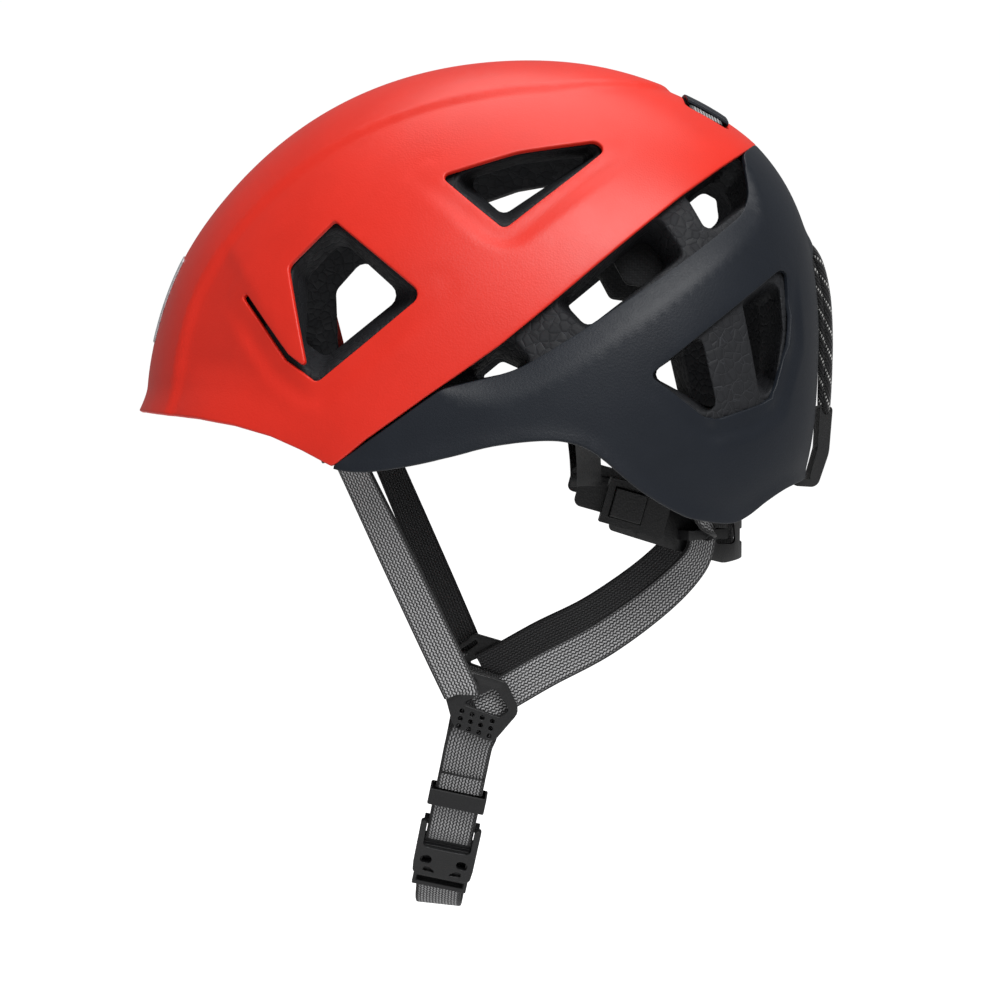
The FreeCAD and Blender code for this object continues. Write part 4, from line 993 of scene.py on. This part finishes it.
def webbing(name, route, width, material, thickness=1.6, step=2.0, ripple=0.12):
    """A flat strap of webbing with woven edges, laid out for its weave. Returns the object."""
    points, tangents, faces, at = strap_path(route, step)
    ring = WEB_SECTION + [(u, -v, b) for u, v, b in WEB_SECTION[-2:0:-1]]
    size = len(ring)
    verts = []
    for k in range(len(points)):
        across = np.cross(tangents[k], faces[k])
        wave = ripple * math.sin(at[k] * 0.9 + 1.7 * math.sin(at[k] * 0.13))
        for u, v, body in ring:
            lift = v * thickness / 2 + wave * (1 - abs(u)) * 0.4
            verts.append(points[k] + across * (u * width / 2) + faces[k] * lift)
    polygons, corner_uv = [], []
    for k in range(len(points) - 1):
        for i in range(size):
            j = (i + 1) % size
            polygons.append((k * size + i, k * size + j, (k + 1) * size + j, (k + 1) * size + i))
            ui, uj = ring[i][0] * width / 2 + width / 2, ring[j][0] * width / 2 + width / 2
            corner_uv.append([(ui, at[k]), (uj, at[k]), (uj, at[k + 1]), (ui, at[k + 1])])
    for k, order in ((0, range(size - 1, -1, -1)), (len(points) - 1, range(size))):
        polygons.append(tuple(k * size + i for i in order))
        corner_uv.append([(ring[i][0] * width / 2 + width / 2, at[k]) for i in order])
    mesh = bpy.data.meshes.new(name)
    mesh.from_pydata([tuple(p * MM) for p in verts], [], polygons)
    layer = mesh.uv_layers.new(name="weave")
    flat = [uv for corners in corner_uv for uv in corners]
    for loop, uv in zip(layer.data, flat):
        loop.uv = uv
    outer_side = mesh.attributes.new("outer_side", "FLOAT", "POINT")
    body_tone = mesh.attributes.new("body", "FLOAT", "POINT")
    for k in range(len(points)):
        for i, (u, v, body) in enumerate(ring):
            outer_side.data[k * size + i].value = 1.0 if v > 0 else (0.5 if v == 0 else 0.0)
            body_tone.data[k * size + i].value = body
    mesh.shade_smooth()
    mesh.set_sharp_from_angle(angle=math.radians(50))
    piece = bpy.data.objects.new(name, mesh)
    bpy.context.scene.collection.objects.link(piece)
    dress(piece, material)
    return piece


def flip(route):
    """The same route on the wearer's right."""
    return [((p[0], -p[1], p[2]), (f[0], -f[1], f[2])) for p, f in route]


SIDE_WEBBING = 15.0
CHIN_WEBBING = 20.0
FRONT_EXIT = np.array([57.0, 84.0, 3.0])
YOKE_FRONT = np.array([17.0, 61.1, -86.0])
front_run = unit(YOKE_FRONT - FRONT_EXIT)
front_face = (0.55, 0.83, 0.05)
front_route = [
    (FRONT_EXIT - front_run * 16, front_face), (FRONT_EXIT, front_face),
    (FRONT_EXIT * 0.5 + YOKE_FRONT * 0.5, (0.32, 0.93, 0.1)), (YOKE_FRONT, (0.0, 1.0, 0.12)),
    (YOKE_FRONT + (-1.2, -2.2, -3.0), (0.1, 0.9, -0.3)), (YOKE_FRONT + (-2.0, -4.4, -4.6), (0.3, 0.5, -0.8))]
rear_route = [
    ((-87.5, 66.5, -1.0), (-0.35, 0.90, 0.25)), ((-86.4, 61.0, -13.0), (-0.35, 0.90, 0.25)),
    ((-85.8, 49.5, -20.0), (-0.45, 0.60, 0.62)), ((-85.5, 43.0, -21.4), (-0.57, 0.82, 0.3)),
    ((-85.6, 41.7, -26.5), (-0.57, 0.82, 0.0)), ((-82.4, 43.8, -36.5), (-0.57, 0.82, 0.0)),
    ((-67.5, 46.0, -51.5), (-0.25, 0.97, 0.0)), ((-43.5, 50.5, -68.5), (0.0, 1.0, 0.1)),
    ((-19.5, 53.5, -81.0), (0.0, 1.0, 0.05)), ((-2.0, 54.9, -91.0), (0.0, 1.0, 0.0)),
    ((9.0, 55.0, -96.8), (0.0, 1.0, 0.0))]
BUCKLE_MIDDLE = np.array([23.3, 29.0, -164.8])
buckle_run = unit((0.174, -0.489, -0.856))
strap_end = BUCKLE_MIDDLE - buckle_run * 20
strap_bend = np.array([12.4, 53.6, -112.0])
chin_run = unit(strap_end - strap_bend)


def facing(run, outward):
    """The part of a direction that stands square to a run."""
    outward = np.asarray(outward, float)
    return unit(outward - run * float(outward @ run))


chin_face = facing(chin_run, (0, 1, 0))
buckle_face = facing(buckle_run, (0, 1, 0))
chin_length = np.linalg.norm(strap_end - strap_bend)
straight = [(strap_bend + chin_run * chin_length * t, chin_face) for t in (0.0, 0.33, 0.66, 1.0)]
left_route = [((7.6, 53.0, -97.6), (0, 1, 0)), ((10.2, 54.9, -106.4), (0, 1, 0))] + straight
tail_route = [(strap_end - chin_run * back + chin_face * 1.9, chin_face) for back in (24.0, 16.0, 8.0, 1.0)]
tail_route += [(BUCKLE_MIDDLE - buckle_run * up + buckle_face * lift, buckle_face)
               for up, lift in ((17.5, 2.9), (13.0, 2.7), (9.6, 1.3), (8.0, 0.2))]
male_end = BUCKLE_MIDDLE + buckle_run * 18.6
right_face = (chin_face[0], -chin_face[1], chin_face[2])
right_route = [
    (male_end, buckle_face), ((27.3, 12.6, -188.6), (0.1, 0.62, -0.78)), ((27.2, 4.0, -192.6), (0.1, 0.2, -0.97)),
    ((26.8, -5.0, -192.4), (0.1, -0.25, -0.96)), ((25.8, -15.0, -187.0), (0.1, -0.7, -0.7)),
    ((23.3, -29.0, -164.8), (buckle_face[0], -buckle_face[1], buckle_face[2])),
    ((strap_end[0], -strap_end[1], strap_end[2]), right_face), ((16.1, -46.2, -129.8), right_face),
    ((strap_bend[0], -strap_bend[1], strap_bend[2]), (0.03, -0.98, -0.15)), ((7.6, -53.0, -97.6), (0, -1, 0))]

for side_name, sign in (("left", 1), ("right", -1)):
    own_front, own_rear = (front_route, rear_route) if sign > 0 else (flip(front_route), flip(rear_route))
    front = webbing("front_webbing_" + side_name, own_front, SIDE_WEBBING, strap_weave)
    rear = webbing("rear_webbing_" + side_name, own_rear, SIDE_WEBBING, strap_weave)
    for piece, node_name, start, end in (
            (front, "front_strap_", (57.0, 84.0, 3.0), (19.0, 62.3, -81.0)),
            (rear, "rear_strap_", (-86.4, 61.0, -13.0), (-19.5, 53.5, -81.0))):
        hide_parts(node_name + side_name)
        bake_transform(piece)
chin_left = webbing("chin_webbing_left", left_route, CHIN_WEBBING, chin_weave)
chin_tail = webbing("chin_webbing_tail", tail_route, CHIN_WEBBING, chin_weave)
chin_right = webbing("chin_webbing_right", right_route, CHIN_WEBBING, chin_weave)
for piece, node_name in ((chin_left, "chin_strap_left"), (chin_tail, "chin_strap_tail")):
    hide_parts(node_name)
    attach(piece, "chin_harness")
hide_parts("chin_strap_right")
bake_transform(chin_right)


# ---------------------------------------------------------------- yokes

YOKE = [
    (14.7, -81.2, 2), (12.6, -80.4, 2), (-3.0, -85.0, 5), (-8.9, -97.5, 5), (2.3, -110.6, 4),
    (18.8, -104.0, 5), (22.8, -89.0, 5),
]
YOKE_WINDOW = [(15.8, -94.2, 1.0), (12.0, -92.6, 3), (1.4, -87.9, 2), (-4.6, -96.9, 2), (-0.4, -100.0, 2)]
YOKE_FRONT_SLIT = [(19.9, -91.4, 0.8), (10.9, -84.8, 0.8), (12.1, -83.2, 0.8), (21.1, -89.4, 0.8)]
YOKE_RIDGE = np.array([(13.4, -81.6), (-2.2, -85.8), (-7.9, -97.4)])
YOKE_INNER = 56.2
YOKE_THICKNESS = 3.6


def drain_holes():
    """Four columns of three round holes in the yoke's lower half."""
    turns = np.linspace(0, 2 * math.pi, 15)[:-1]
    ring = 0.95 * np.stack([np.cos(turns), np.sin(turns)], 1)
    corner, column_step, row_step = np.array([15.2, -97.3]), np.array([-4.2, -1.4]), np.array([0.7, -3.1])
    return [ring + corner + column * column_step + row * row_step for column in range(4) for row in range(3)]


def yoke_plate(name, sign):
    """The strap divider: a plate with a ridge along its rear edges, a window, a slit and drain holes."""
    holes = [rounded(YOKE_WINDOW, 1.1)[0], rounded(YOKE_FRONT_SLIT, 1.1)[0]] + drain_holes()
    flat, tris, index = triangulate(rounded(YOKE, 1.1)[0], holes, 1.1, keep_clear=0.6)
    ridge = 0.75 * (1 - smoothstep(0.9, 2.1, line_distance(flat, YOKE_RIDGE)))
    outer = np.stack([flat[:, 0], YOKE_INNER + YOKE_THICKNESS - 0.4 + ridge, flat[:, 1]], 1)
    inner = np.stack([flat[:, 0], np.full(len(flat), YOKE_INNER), flat[:, 1]], 1)
    points, faces = closed_wall(outer, tris, index, inner, tris, index, 0.4, [True] * len(index), ring_gap=1.5)
    return new_mesh(name, points * (1, sign, 1), faces)


for side_name, sign in (("left", 1), ("right", -1)):
    plate = yoke_plate("yoke_plate_" + side_name, sign)
    dress(plate, harness_black)
    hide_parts("yoke_" + side_name)
    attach(plate, "chin_harness")


# ---------------------------------------------------------------- buckle face

BUCKLE_FACE = [
    (-12.6, -9.6, 2.2), (12.6, -9.6, 2.2), (13.1, -3.0, 3.0), (13.1, 20.6, 2.6), (10.3, 20.6, 1.2), (10.3, 6.4, 2.2),
    (-10.3, 6.4, 2.2), (-10.3, 20.6, 1.2), (-13.1, 20.6, 2.6), (-13.1, -3.0, 3.0),
]
BUCKLE_SIGHT = [(5.8, 2.6, 2.0), (10.2, 1.0, 1.6), (10.3, -3.0, 1.6), (5.2, -2.2, 2.0)]
BUCKLE_WEDGE = [(2.6, -7.2, 0.5), (8.4, -7.2, 0.6), (8.0, -4.6, 0.9), (5.8, -4.3, 0.8)]
BUCKLE_FRONT = 4.9
BUCKLE_BEHIND = 2.3


def buckle_cover():
    """The buckle's moulded front: a U round the strap, two sights on the prongs and two wedge-shaped pockets."""
    holes = [rounded([(side * u, up, r) for u, up, r in corners], 0.9)[0]
             for corners in (BUCKLE_SIGHT, BUCKLE_WEDGE) for side in (1, -1)]
    flat, tris, index = triangulate(rounded(BUCKLE_FACE, 1.0)[0], holes, 1.0, keep_clear=0.6)
    across = np.cross(buckle_run, buckle_face)
    middle = BUCKLE_MIDDLE + flat[:, :1] * across - flat[:, 1:] * buckle_run
    dome = 0.5 * (1 - smoothstep(0.0, 13.0, np.abs(flat[:, 0])))
    outer = middle + (BUCKLE_FRONT + dome)[:, None] * buckle_face
    inner = middle + BUCKLE_BEHIND * buckle_face
    return new_mesh("buckle_cover", *closed_wall(
        outer, tris, index, inner, tris, index, 0.45, [True] * len(index), ring_gap=1.5))


cover = buckle_cover()
dress(cover, harness_black)
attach(cover, "chin_harness")


# ---------------------------------------------------------------- elastic lamp keeper

CORD_SIDE = [
    (-126.5, 9.0, 103.5), (-131.5, 9.0, 100.5), (-136.4, 9.0, 96.6), (-140.2, 9.0, 89.0), (-142.9, 9.0, 76.0),
    (-143.9, 9.0, 60.0), (-143.8, 8.8, 44.0), (-143.4, 7.6, 31.0), (-143.2, 4.6, 24.8),
]


def round_cord(name, route, radius, material, step=1.5, around=12):
    """A round braided cord along a smooth line, laid out for its braid."""
    points = resample(smooth_line(route, 10), step)
    tangents = np.gradient(points, axis=0)
    tangents /= np.linalg.norm(tangents, axis=1)[:, None]
    normal = unit(np.cross(tangents[0], (0, 1, 0)))
    verts = []
    for point, tangent in zip(points, tangents):
        normal = unit(normal - tangent * float(normal @ tangent))
        other = np.cross(tangent, normal)
        for k in range(around):
            turn = 2 * math.pi * k / around
            verts.append(point + radius * (math.cos(turn) * normal + math.sin(turn) * other))
    polygons, corner_uv = [], []
    for k in range(len(points) - 1):
        for i in range(around):
            j = (i + 1) % around
            polygons.append((k * around + i, k * around + j, (k + 1) * around + j, (k + 1) * around + i))
            u0, u1 = i / around, (i + 1) / around
            corner_uv += [(u0, k * step), (u1, k * step), (u1, (k + 1) * step), (u0, (k + 1) * step)]
    for k, order in ((0, range(around - 1, -1, -1)), (len(points) - 1, range(around))):
        polygons.append(tuple(k * around + i for i in order))
        corner_uv += [(i / around, k * step) for i in order]
    mesh = bpy.data.meshes.new(name)
    mesh.from_pydata([tuple(p * MM) for p in verts], [], polygons)
    layer = mesh.uv_layers.new(name="weave")
    for loop, uv in zip(layer.data, corner_uv):
        loop.uv = uv
    mesh.shade_smooth()
    piece = bpy.data.objects.new(name, mesh)
    bpy.context.scene.collection.objects.link(piece)
    dress(piece, material)
    return piece


keeper_route = CORD_SIDE + [(-143.1, 0.0, 23.0)] + [(x, -y, z) for x, y, z in reversed(CORD_SIDE)]
bungee = round_cord("lamp_keeper_braid", keeper_route, 1.8, cord_black)
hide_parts("lamp_keeper_cord")
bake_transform(bungee)


# ---------------------------------------------------------------- comfort pads

PAD_OUTER = 24.7
PAD_WALL = 5.5
BROW_PAD = [(175.0, 33.5), (96.0, 33.5), (90.0, 36.5), (88.3, 42.0), (88.3, 50.5), (90.0, 56.0), (96.0, 59.0),
            (175.0, 59.0)]
SIDE_PAD = [
    (28.0, 90.0, 5), (28.0, 101.0, 5), (-30.0, 103.0, 20), (-72.0, 100.0, 6), (-76.0, 84.0, 5),
    (-66.0, 77.0, 5), (-52.0, 79.0, 4), (-46.0, 90.0, 5), (-20.0, 92.0, 8), (-5.0, 87.0, 5), (10.0, 91.0, 5),
    (19.0, 88.0, 3),
]
TOP_PAD = [
    (48.0, -19.0, 6), (48.0, 19.0, 6), (18.0, 13.0, 8), (-20.0, 13.0, 8), (-50.0, 20.0, 6),
    (-50.0, -20.0, 6), (-20.0, -13.0, 8), (18.0, -13.0, 8),
]


def pad_body(outline, closed, mirror_across):
    """Points and faces of a pad, thick in its middle and pinched to its sewn edge."""
    plan, tris, index = triangulate(outline, [], 2.2)
    to_edge = line_distance(plan, np.vstack([outline[closed], outline[closed][:1]]) if mirror_across is None
                            else outline[closed])
    puff = np.sqrt(np.clip(1 - (1 - np.clip(to_edge / 5.0, 0, 1)) ** 2, 0, 1))
    back = on_form(plan, PAD_OUTER + 0.25)
    front = on_form(plan, PAD_OUTER + 0.25)
    normals = vertex_normals(back, tris)
    front = back - normals * (1.4 + (PAD_WALL - 2.2) * puff)[:, None]
    for skin in (back, front):
        skin[plan_mid(plan), 1] = 0
    loop = np.array(index[0])[closed]
    return closed_wall(back, tris, [loop], front, tris, [loop], 0.6, [mirror_across is None])


def soften(piece, pinned_above, cap):
    """Lets a pad swell under a little air pressure, holding its glued back, and caps how far any point moves."""
    start = np.array([v.co for v in piece.data.vertices])
    group = piece.vertex_groups.new(name="glued")
    for index in np.where(pinned_above)[0]:
        group.add([int(index)], 1.0, "REPLACE")
    cloth = piece.modifiers.new("cloth", "CLOTH")
    cloth.settings.vertex_group_mass = "glued"
    cloth.settings.use_pressure = True
    cloth.settings.uniform_pressure_force = 4.0
    cloth.settings.quality = 4
    cloth.settings.mass = 0.2
    cloth.settings.tension_stiffness = 12
    cloth.settings.compression_stiffness = 12
    cloth.settings.effector_weights.gravity = 0
    cloth.collision_settings.use_collision = False
    for number in range(1, 13):
        bpy.context.scene.frame_set(number)
    shown = piece.evaluated_get(bpy.context.evaluated_depsgraph_get())
    moved = np.array([v.co for v in shown.data.vertices])
    shift = moved - start
    length = np.linalg.norm(shift, axis=1)
    length[length == 0] = 1
    shift *= np.minimum(1, cap * MM / length)[:, None]
    piece.modifiers.remove(cloth)
    piece.data.vertices.foreach_set("co", (start + shift).ravel())
    piece.data.update()
    bpy.context.scene.frame_set(1)


def glued_back(piece, inset):
    """Which vertices of a pad lie on its back, away from the head."""
    points = np.array([v.co for v in piece.data.vertices]) / MM
    side = points[:, [0, 2]]
    distance, angle = polar(side)
    share = np.clip(distance / (profile_radius(angle) - inset), 0, 2)
    level = (np.abs(points[:, 1]) / (HALF_WIDTH - inset)) ** POWER + share ** POWER
    return level > 0.985


pads = []
brow_rim = rim_line(BROW_PAD, PAD_OUTER, 2.2)
brow_mid = mid_line(brow_rim[-1], brow_rim[0], 2.2)
brow_outline = np.vstack([brow_rim, brow_mid])
brow_body = pad_body(brow_outline, slice(0, len(brow_rim)), "y")
pads.append(("brow_pad", mirrored_mesh("brow_cushion", *brow_body), "helmet"))
top_half = half_outline(TOP_PAD, 2.0, PAD_OUTER)
top_mid = mid_line(top_half[0], top_half[-1], 2.2)
top_outline = np.vstack([top_half, top_mid[::-1]])
top_body = pad_body(top_outline, slice(0, len(top_half)), "y")
pads.append(("top_pad", mirrored_mesh("top_cushion", *top_body), "helmet"))
side_outline = to_plan(rounded(SIDE_PAD, 2.0)[0], PAD_OUTER)
side_points, side_faces = pad_body(side_outline, slice(0, len(side_outline)), None)
pads.append(("side_pad_left", new_mesh("side_cushion_left", side_points, side_faces), "helmet"))
pads.append(("side_pad_right", new_mesh(
    "side_cushion_right", side_points * (1, -1, 1), [tuple(reversed(f)) for f in side_faces]), "helmet"))


def nape_cushion():
    """The long pad inside the cradle's band, crowned and pinched at its ends."""
    rows = 13
    columns = 61
    verts, faces = [], []
    for i in range(columns):
        turn = math.radians(-47 + 94 * i / (columns - 1))
        share = abs(2 * i / (columns - 1) - 1)
        end = math.sqrt(max(0.0, 1 - share ** 8))
        outward = unit((-math.cos(turn) / 56.6, math.sin(turn) / 46.6, 0))
        base = np.array([-45 - 57.0 * math.cos(turn), 47.0 * math.sin(turn), 0])
        for k in range(rows):
            around = 2 * math.pi * k / rows
            z = 7.4 * end * math.copysign(abs(math.sin(around)) ** 0.6, math.sin(around))
            depth = 1.75 * end * math.copysign(abs(math.cos(around)) ** 0.8, math.cos(around))
            middle_z = -27.2 - 0.02 * abs(turn)
            verts.append(base - outward * (0.15 - depth) + (0, 0, middle_z + z))
    for i in range(columns - 1):
        for k in range(rows):
            j = (k + 1) % rows
            faces.append((i * rows + k, i * rows + j, (i + 1) * rows + j, (i + 1) * rows + k))
    faces.append(tuple(range(rows)))
    faces.append(tuple((columns - 1) * rows + k for k in reversed(range(rows))))
    return new_mesh("nape_cushion", np.array(verts), faces)


for node_name, piece, body in pads:
    soften(piece, glued_back(piece, PAD_OUTER), 1.0)
pads.append(("nape_pad", nape_cushion(), "cradle"))
for node_name, piece, body in pads:
    round_off = piece.modifiers.new("round_off", "SUBSURF")
    round_off.levels = round_off.render_levels = 1
    dress(piece, pad_black)
    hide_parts(node_name)
    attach(piece, body)


# ---------------------------------------------------------------- shells, foam and kept CAD nodes

for piece, node_name, material, slot in (
        (crown, "crown_shell", crown_red, "crown_plastic"), (lower, "lower_shell", lower_slate, "lower_plastic"),
        (liner, "foam_liner", foam_black, "foam")):
    dress(piece, material)
    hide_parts(node_name)
    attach(piece, "helmet")

cross_route = []
for y in np.linspace(-35.4, 35.4, 11):
    at = from_above([(-88.8, y)])
    spot = on_form(at, 2.5)[0] * (1, math.copysign(1, y) if y else 1, 1)
    above = on_form(at, -2.5)[0] * (1, math.copysign(1, y) if y else 1, 1)
    cross_route.append((spot, above - spot))
cross = webbing("rear_cross_weave", cross_route, SIDE_WEBBING, strap_weave, ripple=0.0)
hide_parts("rear_cross_webbing")
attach(cross, "helmet")

dress(panel, reflective)
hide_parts("front_reflector")
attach(panel, "helmet")

BEVELLED = {
    "rear_bridge": (lower_slate, 0.5),
    "temple_pin_left": (harness_black, 0.4), "temple_pin_right": (harness_black, 0.4),
    "front_strap_anchor_left": (harness_black, 0.5), "front_strap_anchor_right": (harness_black, 0.5),
    "rear_strap_anchor_left": (harness_black, 0.5), "rear_strap_anchor_right": (harness_black, 0.5),
    "crown_puck": (puck_grey, 0.8), "headband_arm_left": (harness_black, 0.25),
    "headband_arm_right": (harness_black, 0.25), "nape_cradle": (harness_black, 0.45),
    "release_tab_left": (harness_black, 0.5), "release_tab_right": (harness_black, 0.5),
    "lamp_keeper_hook": (harness_black, 0.6),
    "buckle_female": (harness_black, 0.8), "buckle_male": (harness_black, 0.7), "buckle_prongs": (harness_black, 0.6),
    "strap_keeper": (keeper_rubber, 0.7),
}
for node_name, (material, bevel) in BEVELLED.items():
    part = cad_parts[node_name]
    part.data.materials.clear()
    part.data.materials.append(material)
    weld = part.modifiers.new("weld", "WELD")
    weld.merge_threshold = 2e-6
    plain = part.modifiers.new("plain", "DECIMATE")
    plain.decimate_type = "DISSOLVE"
    plain.angle_limit = math.radians(1.0)
    soft = part.modifiers.new("soft_edges", "BEVEL")
    soft.width = bevel * MM
    soft.segments = 3
    soft.limit_method = "ANGLE"
    soft.angle_limit = math.radians(35)
    soft.harden_normals = True


# ---------------------------------------------------------------- stage, light and camera

def plane(name, corners, material):
    mesh = bpy.data.meshes.new(name)
    mesh.from_pydata(corners, [], [tuple(range(len(corners)))])
    piece = bpy.data.objects.new(name, mesh)
    bpy.context.scene.collection.objects.link(piece)
    dress(piece, material)
    return piece


def studio_paper():
    """White paper that stays white to the camera, as under its own lamps."""
    material, tree, shader = start_material("studio_paper", 0.9, 0.1)
    fibre = noise(tree, place(tree), 60.0, 4.0)
    tree.links.new(ramp(tree, fibre, [(0.2, grey(0.86)), (0.8, grey(0.9))]), shader.inputs["Base Color"])
    shader.inputs["Emission Color"].default_value = (1, 1, 1, 1)
    seen = node(tree, "LightPath").outputs["Is Camera Ray"]
    tree.links.new(sums(tree, "MULTIPLY", seen, 0.9), shader.inputs["Emission Strength"])
    return material


floor = plane("floor", [(-6, -6, -0.32), (6, -6, -0.32), (6, 6, -0.32), (-6, 6, -0.32)], studio_paper())

world = bpy.data.worlds.new("studio")
bpy.context.scene.world = world
world.use_nodes = True
tree = world.node_tree
backdrop = tree.nodes["Background"]
seen = node(tree, "LightPath").outputs["Is Camera Ray"]
tree.links.new(sums(tree, "MULTIPLY_ADD", seen, 0.78, 0.24), backdrop.inputs["Strength"])
backdrop.inputs["Color"].default_value = (1, 1, 1, 1)


def softbox(name, spot, target, size, power, colour=(1, 1, 1)):
    light = bpy.data.lights.new(name, "AREA")
    light.shape = "RECTANGLE"
    light.size, light.size_y = size
    light.energy = power
    light.color = colour
    lamp = bpy.data.objects.new(name, light)
    lamp.location = spot
    lamp.rotation_euler = (Vector(target) - Vector(spot)).to_track_quat("-Z", "Y").to_euler()
    bpy.context.scene.collection.objects.link(lamp)
    return lamp


softbox("key", (-0.45, 1.0, 1.05), (-0.02, 0.0, 0.06), (0.9, 0.7), 17.5)
softbox("top", (-0.05, -0.1, 1.4), (0.0, 0.0, 0.05), (1.0, 1.0), 8.0)

camera = bpy.data.objects.new("camera", bpy.data.cameras.new("camera"))
bpy.context.scene.collection.objects.link(camera)
bpy.context.scene.camera = camera
camera.location = (-0.0089, 0.850, 0.040)
camera.rotation_euler = (Vector((0, 0, 0.0089)) - camera.location).to_track_quat("-Z", "Y").to_euler()
camera.data.sensor_width = 36.0
camera.data.lens = 69.0
camera.data.shift_y = -0.05
camera.data.clip_start = 0.01
camera.data.dof.use_dof = False
bpy.context.scene.view_settings.view_transform = "Standard"

bpy.context.view_layer.update()
